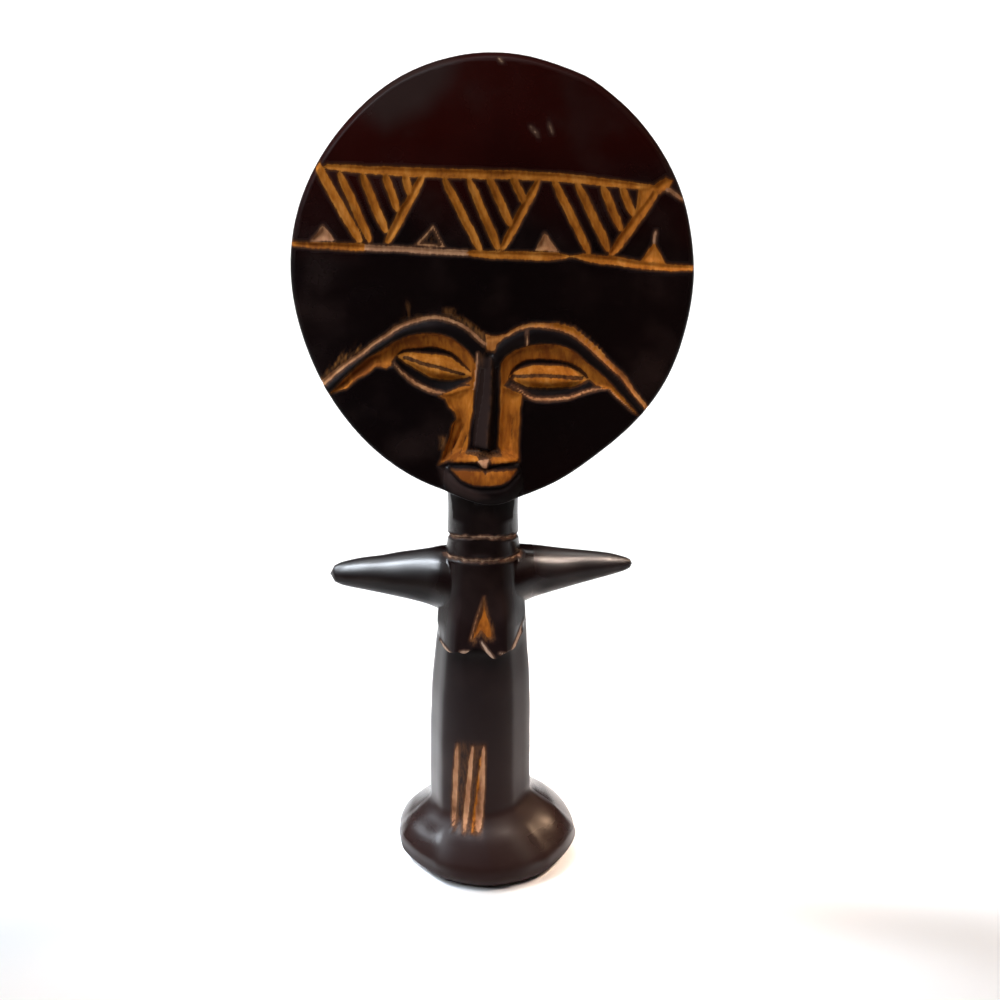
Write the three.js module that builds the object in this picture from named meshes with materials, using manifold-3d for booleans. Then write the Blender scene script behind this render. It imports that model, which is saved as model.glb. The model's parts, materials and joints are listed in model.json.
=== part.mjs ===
// A carved wooden doll: a flat egg-shaped head that leans back, a ringed neck, two short arms, a round column
// and a domed foot, all cut from one block of wood.
//
// Millimetres, +Z up, the front towards -Y, the origin at the middle of the foot's flat underside.

import * as THREE from 'three';
import { mergeVertices } from 'three/addons/utils/BufferGeometryUtils.js';
import Module from 'manifold-3d';

// Foot and column, as radii and heights.
const UNDERSIDE_RADIUS = 27.4;
const FOOT_RADIUS = 33.6;
const FOOT_WIDEST_HEIGHT = 6.8;
const FOOT_DOME_RISE = 12.7;
const FOOT_DOME_FULLNESS = 2.8;
const FOOT_TILT = 0.022;
const CREASE_HEIGHT = 18.4;
const CREASE_WIDTH = 1.2;
const COLUMN_RADIUS = 19.6;
const COLUMN_SWELL = [[19.2, 38], [18.7, 55], [17.8, 72]];
const WAIST_RADIUS = 16.2;
const WAIST_HEIGHT = 97;
const SHOULDER_HEIGHT = 112;
const SHOULDER_RADIUS = 15.2;
const TRUNK_SEGMENTS = 40;

// The column was carved a little to one side of the foot, and the neck half as far.
const COLUMN_OFFSET = -2.2;
const NECK_OFFSET = -1.2;

// Neck, with two cut rings.
const NECK_RADIUS = 11.9;
const NECK_BASE_RADIUS = 13.2;
const RING_HEIGHTS = [125.8, 133.6];
const RING_WIDTH = 2.4;
const RING_DEPTH = 1;
const NECK_TOP_HEIGHT = 168;
const NECK_TOP_ROUNDING = 6;

// Arms: blunt on the one side, pointed on the other. They start inside the trunk.
const ARM_FLATNESS = 0.86;
const ARM_START = 10;
const ARM_FLARE = 0.6;
const ARM_SEGMENTS = 18;
const ARMS = [
  { side: -1, reach: 55.8, rootHeight: 114, tipHeight: 114.8, rootRadius: 10.6, tipRadius: 3.2 },
  { side: 1, reach: 52.4, rootHeight: 115.8, tipHeight: 119.4, rootRadius: 10, tipRadius: 1.7 },
];

// Head: a disc of wood whose front passes through a point over the chin.
const HEAD_LEAN = THREE.MathUtils.degToRad(8);
const FACE_DEPTH = -12;
const CHIN_HEIGHT = 150;
const HEAD_THICKNESS = 16;
const HEAD_EDGE = 4;
const HEAD_MIDDLE = new THREE.Vector2(2.3, 76.2);
const HEAD_RADIUS = 71.3;
const HEAD_TALLER = 4.1;
const HEAD_POINTED_CHIN = 1;
const HEAD_SQUARER = 0.8;
const HEAD_OUTLINE_POINTS = 88;

// Where the knife left the head's edge flat or full, as turns from straight up.
const KNIFE_MARK_WIDTH = THREE.MathUtils.degToRad(14);
const KNIFE_MARKS = [
  { turn: THREE.MathUtils.degToRad(150), rise: -1.9 },
  { turn: THREE.MathUtils.degToRad(119), rise: 0.9 },
];

// Pattern band on the forehead. Places on the head are (across, up) from the point over the chin.
const BAND_TOP = [[-60, 115], [-20, 112.8], [12, 111.8], [32, 110.6], [68, 107]];
const BAND_BOTTOM = [[-70, 89.2], [-41, 87.8], [-10, 85.9], [17, 85.1], [33, 83.4], [75, 79.4]];
const BAND_LINE_WIDTH = 3;
const STROKE_WIDTH = 2.4;
const CARVING_DEPTH = 1.3;
const STROKE_GROUPS = [
  { left: -55.2, right: -20.6, foot: -33.1, top: 112.4, bottom: 89, count: 5, leans: [0.57, 0.4] },
  { left: -13.7, right: 18, foot: 5.9, top: 110.8, bottom: 87, count: 4, leans: [0.55, 0.5] },
  { left: 23.7, right: 58.4, foot: 40.9, top: 108.6, bottom: 85, count: 5, leans: [0.5, 0.1] },
];
const CHIPS = [[-54.8, 89.6], [-18.8, 88.4], [20.3, 87], [56.4, 83.4]];
const CHIP_WIDTH = 8;
const CHIP_RISE = 6;

// Face. Each brow is a line of points, thickest at its peak, and the nose is a tapered ridge.
const BROWS = [
  {
    thickness: 4.3,
    line: [[-54, 40.6], [-39.1, 52.9], [-26.6, 58.8], [-18.5, 60.3], [-10.3, 58.8], [-1, 52.6]],
  },
  {
    thickness: 5.2,
    line: [[55, 31.4], [48.5, 39], [41.6, 46.4], [32.4, 53.4], [21, 57.6], [11.8, 57.1], [3.2, 51]],
  },
];
const BROW_RISE = 1.6;
const BROW_STEPS = 24;
const BROW_THIN_END = 0.36;
const BROW_PEAK = 0.6;
const SOCKETS = [
  { at: [-17.5, 48.4], half: [18, 9.5], turn: THREE.MathUtils.degToRad(-17) },
  { at: [21.8, 45], half: [17.5, 10.5], turn: THREE.MathUtils.degToRad(-2) },
];
const SOCKET_DEPTH = 2;
const EYES = [
  { at: [-17.3, 47.2], half: [12.4, 4.2], turn: THREE.MathUtils.degToRad(-17) },
  { at: [21.8, 42.8], half: [13.2, 4.4], turn: THREE.MathUtils.degToRad(-2) },
];
const EYE_RISE = 1.6;
const EYE_SUNK = 1.6;
const CHEEKS = [[-9.8, 27.5], [8.4, 26.5]];
const CHEEK_HALF = [5, 16];
const CHEEK_DEPTH = 1.8;
const NOSE_MIDDLE = -0.3;
const NOSE_TURN = -0.02;
const NOSE_TOP = 52;
const NOSE_TIP = 17.4;
const NOSE_HALF_WIDTH_TOP = 3.4;
const NOSE_HALF_WIDTH_TIP = 5.2;
const NOSE_RISE = 5;
const MUZZLE = { at: [-0.6, 8.2], half: [12.4, 10.4], rise: 5.2 };
const LIPS = [
  { at: [-0.6, 12.2], half: [9.6, 2.1], rise: 6 },
  { at: [-0.6, 8], half: [9, 3], rise: 6.4 },
];

// Chest: a bib that thickens downwards to a ledge, parted by a valley into two breasts.
const BIB_TOP = 114;
const BIB_LEDGE = 91.5;
const BIB_THICKNESS = 3.4;
const BIB_SIDE = -4;
const VALLEY_TOP = 113;
const VALLEY_MIDDLE = -1.8;
const VALLEY_HALF_WIDTH = 3.4;
const BREAST_ROUNDING = 1.6;

// Three long cuts down the front of the column, each from its top to its bottom.
const BODY_CUTS = [
  { top: [-10.1, 55.8], bottom: [-11.7, 21] },
  { top: [-4.5, 55.8], bottom: [-7.4, 20.5] },
  { top: [-0.5, 55.8], bottom: [-2.4, 20.5] },
];
const BODY_CUT_WIDTH = 2;
const BODY_CUT_DEPTH = 1.2;
const BODY_TAPER = 0.025;

const wasm = await Module();
wasm.setup();

// A closed geometry as a solid, moved by a matrix.
function solid(geometry, matrix = new THREE.Matrix4()) {
  const bare = geometry.clone();
  bare.deleteAttribute('normal');
  bare.deleteAttribute('uv');
  bare.applyMatrix4(matrix);
  const merged = mergeVertices(bare, 1e-4);
  return new wasm.Manifold(new wasm.Mesh({
    numProp: 3,
    vertProperties: merged.attributes.position.array,
    triVerts: new Uint32Array(merged.index.array),
  }));
}

// Matrix from the head's own frame, across, up and out of its front, to the figure's.
const headFrame = new THREE.Matrix4().makeBasis(
  new THREE.Vector3(1, 0, 0),
  new THREE.Vector3(0, Math.sin(HEAD_LEAN), Math.cos(HEAD_LEAN)),
  new THREE.Vector3(0, -Math.cos(HEAD_LEAN), Math.sin(HEAD_LEAN)),
).setPosition(0, FACE_DEPTH, CHIN_HEIGHT);

// Matrix that places a shape on the head's front, turned in its plane, stretched, and sunk in or raised.
function onFace([across, up], turn = 0, stretch = [1, 1, 1], proud = 0) {
  const place = new THREE.Matrix4().compose(
    new THREE.Vector3(across, up, proud),
    new THREE.Quaternion().setFromAxisAngle(new THREE.Vector3(0, 0, 1), turn),
    new THREE.Vector3(...stretch),
  );
  return place.premultiply(headFrame);
}

// An ellipsoid on the head's front. Its middle lies on the wood's face unless it is sunk.
function moundOnFace({ at, half, rise, turn = 0, sunk = 0 }) {
  return solid(new THREE.SphereGeometry(1, 16, 10), onFace(at, turn, [...half, rise], -sunk));
}

// A straight V-shaped cut between two places on the head's front.
function cutOnFace(from, to, width, depth) {
  const run = new THREE.Vector2(to[0] - from[0], to[1] - from[1]);
  const bar = new THREE.CylinderGeometry(1, 1, run.length(), 4);
  const middle = [(from[0] + to[0]) / 2, (from[1] + to[1]) / 2];
  const turn = Math.atan2(run.y, run.x) - Math.PI / 2;
  return solid(bar, onFace(middle, turn, [width / 2, 1, depth]));
}

// Cuts that follow a line of places, end to end.
function cutAlong(line, width, depth) {
  return line.slice(1).map((to, i) => cutOnFace(line[i], to, width, depth));
}

// The head's radius at a turn from straight up: a circle made taller, a little square, with a pointed chin.
function headRadius(turn) {
  const egg = HEAD_RADIUS
    + HEAD_TALLER * Math.cos(2 * turn)
    - HEAD_POINTED_CHIN * Math.cos(3 * turn)
    + HEAD_SQUARER * Math.cos(4 * turn);
  return KNIFE_MARKS.reduce(
    (radius, mark) => radius + mark.rise * Math.exp(-(((turn - mark.turn) / KNIFE_MARK_WIDTH) ** 2)),
    egg,
  );
}

// The head's outline, drawn in by an inset.
function headOutline(inset) {
  const outline = [];
  for (let i = 0; i < HEAD_OUTLINE_POINTS; i += 1) {
    const turn = Math.PI - 2 * Math.PI * i / HEAD_OUTLINE_POINTS;
    const radius = headRadius(turn) - inset;
    outline.push(new THREE.Vector2(
      HEAD_MIDDLE.x + radius * Math.sin(turn),
      HEAD_MIDDLE.y + radius * Math.cos(turn),
    ));
  }
  return outline;
}

function headDisc() {
  const disc = new THREE.ExtrudeGeometry(new THREE.Shape(headOutline(HEAD_EDGE)), {
    depth: HEAD_THICKNESS - 2 * HEAD_EDGE,
    bevelThickness: HEAD_EDGE,
    bevelSize: HEAD_EDGE,
    bevelSegments: 4,
  });
  disc.translate(0, 0, HEAD_EDGE - HEAD_THICKNESS);
  return solid(disc, headFrame);
}

// A tall plug of the head's outline, that trims what is raised on the face at the head's edge.
function headPlug() {
  const plug = new THREE.ExtrudeGeometry(new THREE.Shape(headOutline(HEAD_EDGE * 0.7)), {
    depth: 4 * HEAD_THICKNESS,
    bevelEnabled: false,
  });
  plug.translate(0, 0, -2 * HEAD_THICKNESS);
  return solid(plug, headFrame);
}

// A brow: a crescent around its line, raised above the face, thin at its outer end and thickest past halfway.
function brow({ line, thickness }) {
  const points = line.map(([across, up]) => new THREE.Vector3(across, up, 0));
  const curve = new THREE.CatmullRomCurve3(points, false, 'centripetal');
  const upper = [];
  const lower = [];
  for (let i = 0; i <= BROW_STEPS; i += 1) {
    const along = i / BROW_STEPS;
    const middle = curve.getPointAt(along);
    const run = curve.getTangentAt(along);
    const swell = Math.sin(Math.PI / 2 * Math.min(along / BROW_PEAK, 1));
    const half = thickness / 2 * THREE.MathUtils.lerp(BROW_THIN_END, 1, swell);
    upper.push(new THREE.Vector2(middle.x - run.y * half, middle.y + run.x * half));
    lower.unshift(new THREE.Vector2(middle.x + run.y * half, middle.y - run.x * half));
  }
  const raised = new THREE.ExtrudeGeometry(new THREE.Shape([...upper, ...lower]), {
    depth: SOCKET_DEPTH + BROW_RISE,
    bevelEnabled: false,
  });
  raised.translate(0, 0, -SOCKET_DEPTH);
  return solid(raised, headFrame);
}

// The nose: a four-sided taper with one edge forward, half sunk in the face.
function nose() {
  const taper = new THREE.CylinderGeometry(NOSE_HALF_WIDTH_TOP, NOSE_HALF_WIDTH_TIP, NOSE_TOP - NOSE_TIP, 4);
  const middle = [NOSE_MIDDLE, (NOSE_TOP + NOSE_TIP) / 2];
  return solid(taper, onFace(middle, NOSE_TURN, [1, 1, NOSE_RISE / NOSE_HALF_WIDTH_TIP]));
}

// One group of the band: leaning strokes that end on a closing line.
function strokeGroup({ left, right, foot, top, bottom, count, leans }) {
  const cuts = [cutOnFace([right, top], [foot, bottom], STROKE_WIDTH, CARVING_DEPTH)];
  const closingLean = (right - foot) / (top - bottom);
  for (let i = 0; i < count; i += 1) {
    const start = left + (right - left) * i / count;
    const lean = THREE.MathUtils.lerp(...leans, i / (count - 1));
    const drop = Math.min((right - start) / (lean + closingLean), top - bottom);
    cuts.push(cutOnFace([start, top], [start + lean * drop, top - drop], STROKE_WIDTH, CARVING_DEPTH));
  }
  return cuts;
}

// A small triangular chip that stands on the band's lower line.
function chip([across, up]) {
  const triangle = new THREE.Shape([
    new THREE.Vector2(-CHIP_WIDTH / 2, 0),
    new THREE.Vector2(CHIP_WIDTH / 2, 0),
    new THREE.Vector2(0, CHIP_RISE),
  ]);
  const wedge = new THREE.ExtrudeGeometry(triangle, { depth: 2 * CARVING_DEPTH, bevelEnabled: false });
  return solid(wedge, onFace([across, up], 0, [1, 1, 1], -CARVING_DEPTH));
}

// How far the trunk's middle lies to the side at a height.
function trunkOffset(height) {
  const column = THREE.MathUtils.smoothstep(height, FOOT_WIDEST_HEIGHT, CREASE_HEIGHT);
  const neck = THREE.MathUtils.smoothstep(height, WAIST_HEIGHT, RING_HEIGHTS[1]);
  return COLUMN_OFFSET * column + (NECK_OFFSET - COLUMN_OFFSET) * neck;
}

// Outline of foot, column and neck as radius and height, from the underside to inside the head.
function trunkOutline() {
  const at = (radius, height) => new THREE.Vector2(radius, height);
  const outline = [at(0, 0), at(UNDERSIDE_RADIUS, 0), at(FOOT_RADIUS - 1.2, FOOT_WIDEST_HEIGHT - 2.4)];
  const creaseShare = (COLUMN_RADIUS + CREASE_WIDTH / 2) / FOOT_RADIUS;
  const creaseTurn = Math.acos(creaseShare ** (FOOT_DOME_FULLNESS / 2));
  const domeSteps = 7;
  for (let i = 0; i <= domeSteps; i += 1) {
    const turn = creaseTurn * i / domeSteps;
    outline.push(at(
      FOOT_RADIUS * Math.cos(turn) ** (2 / FOOT_DOME_FULLNESS),
      FOOT_WIDEST_HEIGHT + FOOT_DOME_RISE * Math.sin(turn) ** (2 / FOOT_DOME_FULLNESS),
    ));
  }
  const body = new THREE.SplineCurve([
    at(COLUMN_RADIUS, CREASE_HEIGHT + CREASE_WIDTH),
    ...COLUMN_SWELL.map(([radius, height]) => at(radius, height)),
    at(WAIST_RADIUS, WAIST_HEIGHT),
    at(SHOULDER_RADIUS, SHOULDER_HEIGHT),
    at(NECK_BASE_RADIUS, RING_HEIGHTS[0] - RING_WIDTH),
  ]);
  outline.push(...body.getPoints(12));
  const ringRadii = [(NECK_BASE_RADIUS + NECK_RADIUS) / 2, NECK_RADIUS];
  RING_HEIGHTS.forEach((ring, i) => {
    const radius = ringRadii[i];
    outline.push(at(radius, ring - RING_WIDTH / 2));
    outline.push(at(radius - RING_DEPTH, ring));
    outline.push(at(radius, ring + RING_WIDTH / 2));
  });
  const top = new THREE.SplineCurve([
    at(NECK_RADIUS, (RING_HEIGHTS[1] + CHIN_HEIGHT) / 2),
    at(NECK_RADIUS, CHIN_HEIGHT),
    at(NECK_RADIUS * 0.8, NECK_TOP_HEIGHT - NECK_TOP_ROUNDING),
    at(0, NECK_TOP_HEIGHT),
  ]);
  outline.push(...top.getPoints(6));
  return outline;
}

function trunk() {
  const lathe = new THREE.LatheGeometry(trunkOutline(), TRUNK_SEGMENTS);
  lathe.rotateX(Math.PI / 2);
  const position = lathe.attributes.position;
  for (let i = 0; i < position.count; i += 1) {
    const height = position.getZ(i);
    const onDome = height < CREASE_HEIGHT + CREASE_WIDTH / 2 ? Math.min(height / FOOT_WIDEST_HEIGHT, 1) : 0;
    position.setZ(i, height + FOOT_TILT * onDome * position.getX(i));
    position.setX(i, position.getX(i) + trunkOffset(height));
  }
  return solid(lathe);
}

// An arm: a cone with a flared root and a round tip, turned to point sideways.
function arm({ side, reach, rootHeight, tipHeight, rootRadius, tipRadius }) {
  const length = reach - ARM_START;
  const at = (radius, along) => new THREE.Vector2(radius, along);
  const cone = new THREE.SplineCurve([
    at(rootRadius + ARM_FLARE, 0),
    at(rootRadius - ARM_FLARE, length * 0.2),
    at((rootRadius + tipRadius) / 2, length * 0.56),
    at(tipRadius, length - tipRadius),
  ]);
  const tip = [at(tipRadius * 0.7, length - tipRadius * 0.3), at(0, length)];
  const outline = [at(0, 0), ...cone.getPoints(7), ...tip];
  const lathe = new THREE.LatheGeometry(outline, ARM_SEGMENTS);
  const rise = Math.atan2(tipHeight - rootHeight, length);
  const place = new THREE.Matrix4()
    .makeTranslation(side * ARM_START, 0, rootHeight)
    .multiply(new THREE.Matrix4().makeRotationY(side * (Math.PI / 2 - rise)))
    .multiply(new THREE.Matrix4().makeRotationX(Math.PI / 2))
    .multiply(new THREE.Matrix4().makeScale(1, 1, ARM_FLATNESS));
  return solid(lathe, place);
}

// The chest: a cone set forward that grows wider down to a level ledge, parted at the front by a valley.
function bib() {
  const height = BIB_TOP - BIB_LEDGE;
  const cone = new THREE.LatheGeometry([
    new THREE.Vector2(0, 0),
    new THREE.Vector2(WAIST_RADIUS - BREAST_ROUNDING, 0),
    new THREE.Vector2(WAIST_RADIUS, BREAST_ROUNDING),
    new THREE.Vector2(WAIST_RADIUS - BIB_THICKNESS * 0.4, height * 0.5),
    new THREE.Vector2(SHOULDER_RADIUS - BIB_THICKNESS, height),
    new THREE.Vector2(0, height),
  ], TRUNK_SEGMENTS);
  const placed = new THREE.Matrix4()
    .makeTranslation(COLUMN_OFFSET, -BIB_THICKNESS, BIB_LEDGE)
    .multiply(new THREE.Matrix4().makeRotationX(Math.PI / 2));
  const behind = new THREE.BoxGeometry(4 * FOOT_RADIUS, 4 * FOOT_RADIUS, 4 * height);
  behind.translate(0, 2 * FOOT_RADIUS + BIB_SIDE, BIB_LEDGE);
  const valley = new THREE.ExtrudeGeometry(new THREE.Shape([
    new THREE.Vector2(-VALLEY_HALF_WIDTH, -1),
    new THREE.Vector2(VALLEY_HALF_WIDTH, -1),
    new THREE.Vector2(0, VALLEY_TOP - BIB_LEDGE),
  ]), { depth: 2 * FOOT_RADIUS, bevelEnabled: false });
  valley.rotateX(Math.PI / 2);
  valley.translate(VALLEY_MIDDLE, 0, BIB_LEDGE);
  return solid(cone, placed).subtract(solid(behind)).subtract(solid(valley));
}

// The point on the front of the column at a place across and a height.
function columnFront([across, height]) {
  const radius = COLUMN_RADIUS - BODY_TAPER * (height - CREASE_HEIGHT);
  return new THREE.Vector3(across, -Math.sqrt(radius ** 2 - (across - COLUMN_OFFSET) ** 2), height);
}

// A V-shaped cut down the front of the column.
function bodyCut({ top, bottom }) {
  const from = columnFront(bottom);
  const run = columnFront(top).sub(from);
  const bar = new THREE.CylinderGeometry(1, 1, run.length(), 4);
  const outward = new THREE.Vector3(from.x - COLUMN_OFFSET, from.y, 0).normalize();
  const along = run.clone().normalize();
  const sideways = new THREE.Vector3().crossVectors(along, outward).normalize();
  const place = new THREE.Matrix4()
    .makeBasis(sideways, along, new THREE.Vector3().crossVectors(sideways, along))
    .setPosition(from.clone().addScaledVector(run, 0.5))
    .multiply(new THREE.Matrix4().makeScale(BODY_CUT_WIDTH / 2, 1, BODY_CUT_DEPTH));
  return solid(bar, place);
}

function headCuts() {
  return [
    ...cutAlong(BAND_TOP, BAND_LINE_WIDTH, CARVING_DEPTH),
    ...cutAlong(BAND_BOTTOM, BAND_LINE_WIDTH, CARVING_DEPTH),
    ...STROKE_GROUPS.flatMap(strokeGroup),
    ...CHIPS.map(chip),
    ...SOCKETS.map((socket) => moundOnFace({ ...socket, rise: SOCKET_DEPTH })),
    ...CHEEKS.map((at) => moundOnFace({ at, half: CHEEK_HALF, rise: CHEEK_DEPTH })),
  ];
}

function faceRelief() {
  return [
    ...BROWS.map(brow),
    ...EYES.map((eye) => moundOnFace({ ...eye, rise: EYE_RISE, sunk: EYE_SUNK })),
    nose(),
    moundOnFace(MUZZLE),
    ...LIPS.map(moundOnFace),
  ];
}

// All the solids of a list joined to one.
function joined(solids) {
  return solids.reduce((whole, next) => whole.add(next));
}

// A solid as a geometry with flat faces.
function geometryOf(manifold) {
  const { vertProperties, triVerts, numProp } = manifold.getMesh();
  if (numProp !== 3) {
    throw new Error('the solid has more than positions');
  }
  const geometry = new THREE.BufferGeometry();
  geometry.setAttribute('position', new THREE.BufferAttribute(vertProperties, 3));
  geometry.setIndex(new THREE.BufferAttribute(triVerts, 1));
  return geometry;
}

const head = headDisc().subtract(joined(headCuts())).add(joined(faceRelief()).intersect(headPlug()));
const body = joined([trunk(), bib(), ...ARMS.map(arm)]);
const figure = body.subtract(joined(BODY_CUTS.map(bodyCut))).add(head);

const stainedWood = new THREE.MeshStandardMaterial({ color: 0x24130d, roughness: 0.35, metalness: 0 });
const carvedFigure = new THREE.Mesh(geometryOf(figure), stainedWood);
carvedFigure.name = 'carved_figure';

const part = new THREE.Group();
part.add(carvedFigure);

export default part;
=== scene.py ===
# %% [markdown]
# # A carved wooden doll
#
# The object is a standing doll, about 300 mm tall, cut from one block of wood: a large flat head that leans
# back, a ringed neck, two short arms, a round column of a body and a domed foot. The wood is stained nearly
# black and polished. Lines and hollows were then scraped back to the bare wood, which shows orange.
#
# The doll could be sculpted by hand or built from primitives and bevels. Here it is worked out with numpy,
# because a carving like this is a few smooth skins (head, trunk, two arms) with cuts whose places can be
# measured. One set of functions then says where a cut is, both for the relief and for the colour, so the two
# always agree.

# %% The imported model, as a fixed frame
import json
import math

import bpy
import numpy as np
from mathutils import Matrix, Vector

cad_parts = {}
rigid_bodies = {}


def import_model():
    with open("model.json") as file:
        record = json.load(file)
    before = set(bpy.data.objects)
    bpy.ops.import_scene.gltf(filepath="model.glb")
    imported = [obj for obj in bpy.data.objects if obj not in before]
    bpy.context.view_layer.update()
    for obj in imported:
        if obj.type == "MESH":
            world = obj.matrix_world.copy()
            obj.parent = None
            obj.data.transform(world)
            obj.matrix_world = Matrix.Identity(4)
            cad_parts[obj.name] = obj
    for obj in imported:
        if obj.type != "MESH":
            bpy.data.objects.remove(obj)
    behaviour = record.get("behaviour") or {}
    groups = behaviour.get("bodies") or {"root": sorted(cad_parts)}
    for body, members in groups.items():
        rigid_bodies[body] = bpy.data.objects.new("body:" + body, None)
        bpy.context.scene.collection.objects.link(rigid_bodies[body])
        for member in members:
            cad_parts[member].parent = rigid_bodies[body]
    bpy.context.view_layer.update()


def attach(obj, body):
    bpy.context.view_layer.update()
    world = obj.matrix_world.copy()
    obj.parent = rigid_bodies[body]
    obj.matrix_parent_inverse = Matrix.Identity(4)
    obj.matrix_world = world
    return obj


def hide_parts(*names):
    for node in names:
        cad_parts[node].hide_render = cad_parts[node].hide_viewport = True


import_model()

# %% [markdown]
# ## Helpers for skins
#
# Every skin below is closed: rings of points, joined ring to ring by quads, with a point at each end. That
# is a lathe or a loft, but as whole arrays, so each ring can have any shape. The rings need not be evenly
# spaced. A carved line is about 2 mm wide, so the grid is fine where there is carving and coarse where the
# wood is plain.

# %% Stations whose spacing changes, and a smooth curve through stops
MM = 0.001
FINE_STEPS = 4000


def stations(stops, pitches):
    """Places from the first stop to the last whose spacing follows a pitch that changes evenly between the
    stops: the running sum of length over pitch, cut into equal steps."""
    fine = np.linspace(stops[0], stops[-1], FINE_STEPS)
    middle = (fine[1:] + fine[:-1]) / 2
    count = np.concatenate([[0], np.cumsum(np.diff(fine) / np.interp(middle, stops, pitches))])
    steps = math.ceil(count[-1])
    return np.interp(np.linspace(0, count[-1], steps + 1), count, fine)


def smooth_through(place, stops, values):
    """A smooth curve through stops: between two of them a cubic whose slope at each stop is that of its
    neighbours' chord."""
    stops = np.asarray(stops, float)
    values = np.asarray(values, float)
    slopes = np.gradient(values, stops)
    place = np.clip(place, stops[0], stops[-1])
    i = np.clip(np.searchsorted(stops, place) - 1, 0, len(stops) - 2)
    step = stops[i + 1] - stops[i]
    t = (place - stops[i]) / step
    from_start = (1 + 2 * t) * (1 - t) ** 2 * values[i] + t * (1 - t) ** 2 * step * slopes[i]
    return from_start + t * t * (3 - 2 * t) * values[i + 1] - t * t * (1 - t) * step * slopes[i + 1]


print("stations from 0 to 6 whose spacing grows from 1 to 2:", stations([0, 6], [1, 2]).round(1).tolist())


# %% Soft steps, bells and the unevenness of handwork
def ramp(value, low, high):
    """0 below low, 1 above high, and a smooth S in between."""
    t = np.clip((value - low) / (high - low), 0, 1)
    return t * t * (3 - 2 * t)


def hill(value, middle, width):
    """A bell: 1 at the middle, and about a third at one width from it."""
    return np.exp(-(((value - middle) / width) ** 2))


def unevenness(wavelength, seed, *places, waves=12):
    """What a hand leaves: a sum of sine waves that run in random directions, each of about one wavelength,
    scaled so that most values lie between -1 and 1."""
    random = np.random.default_rng(seed)
    point = np.stack(np.broadcast_arrays(*places), -1)
    run = random.normal(size=(waves, point.shape[-1]))
    run /= np.linalg.norm(run, axis=1, keepdims=True) * wavelength * random.uniform(0.7, 1.5, (waves, 1))
    phase = random.uniform(0, 2 * np.pi, waves)
    return np.sin(point @ (2 * np.pi * run).T + phase).sum(-1) / math.sqrt(waves)


print("a soft step at its quarters:", ramp(np.array([0.25, 0.5, 0.75]), 0, 1).round(2).tolist())

# %% A closed skin from rings
def closed_skin(name, rings, first_end, last_end):
    """A mesh in millimetres from rings (ring, point, xyz) that run anticlockwise seen from the last end:
    quads between neighbouring rings and a fan of triangles from each end point."""
    count, size = rings.shape[:2]
    vertices = np.concatenate([rings.reshape(-1, 3), [first_end, last_end]])
    here = np.arange(size)
    after = (here + 1) % size
    low = np.arange(count - 1)[:, None] * size
    quads = np.stack([low + here, low + after, low + size + after, low + size + here], -1).reshape(-1, 4)
    first_fan = np.stack([np.full(size, count * size), after, here], -1)
    top = (count - 1) * size
    last_fan = np.stack([np.full(size, count * size + 1), top + here, top + after], -1)
    mesh = bpy.data.meshes.new(name)
    mesh.from_pydata(vertices, [], quads.tolist() + first_fan.tolist() + last_fan.tolist())
    skin = bpy.data.objects.new(name, mesh)
    bpy.context.scene.collection.objects.link(skin)
    print(f"{name}: {count} rings of {size} points, {2 * count * size} triangles")
    return skin


print("helpers for skins: stations, smooth_through, ramp, hill, unevenness, closed_skin")

# %% [markdown]
# ## Helpers for cuts
#
# A knife cut is described by how deep inside it a place lies, in millimetres: positive inside, 0 on its edge
# and negative outside. This is a signed distance. It makes one description serve twice: the relief is the
# distance times a slope, and the colour changes where it crosses zero, which stays crisp even on a mesh of
# half a millimetre.

# %% Distances to lines, cuts and areas
FAR = 1e3


def near_line(across, up, line):
    """Distance from each place to a line of straight runs, and the share of its length that lies before the
    nearest point."""
    line = np.asarray(line, float)
    line = line[np.append(True, np.linalg.norm(np.diff(line, axis=0), axis=1) > 1e-6)]
    runs = np.diff(line, axis=0)
    lengths = np.linalg.norm(runs, axis=1)
    before = np.concatenate([[0], np.cumsum(lengths)])
    nearest = np.full(across.shape, FAR)
    share = np.zeros(across.shape)
    for k, (start, run) in enumerate(zip(line, runs)):
        along = ((across - start[0]) * run[0] + (up - start[1]) * run[1]) / lengths[k] ** 2
        along = np.clip(along, 0, 1)
        gap = np.hypot(across - start[0] - along * run[0], up - start[1] - along * run[1])
        share = np.where(gap < nearest, (before[k] + along * lengths[k]) / before[-1], share)
        nearest = np.minimum(gap, nearest)
    return nearest, share


def inside_cut(across, up, line, width, end_width=0.6):
    """How far inside a cut each place lies: half the cut's width, less the distance to its line. The width
    can be a list from the first end to the last, and it narrows towards both ends."""
    distance, share = near_line(across, up, line)
    widths = np.interp(share, np.linspace(0, 1, np.size(width)), np.ravel(width))
    narrowing = 1 - (1 - end_width) * np.abs(2 * share - 1) ** 6
    return widths / 2 * narrowing - distance


def inside_area(across, up, corners):
    """How far inside a closed outline each place lies: the distance to its edge, positive where a ray
    crosses the edge an odd number of times."""
    closed = np.asarray([*corners, corners[0]], float)
    distance, _ = near_line(across, up, closed)
    odd = np.zeros(across.shape, bool)
    for (x0, y0), (x1, y1) in zip(closed[:-1], closed[1:]):
        if y0 != y1:
            odd ^= ((up < y0) != (up < y1)) & (across < x0 + (up - y0) * (x1 - x0) / (y1 - y0))
    return np.where(odd, distance, -distance)


on_the_line = inside_cut(np.zeros(1), np.zeros(1), [(-5, 0), (5, 0)], 3)
print("a place on the middle of a cut 3 mm wide lies", float(on_the_line[0]), "mm inside it")


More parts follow.
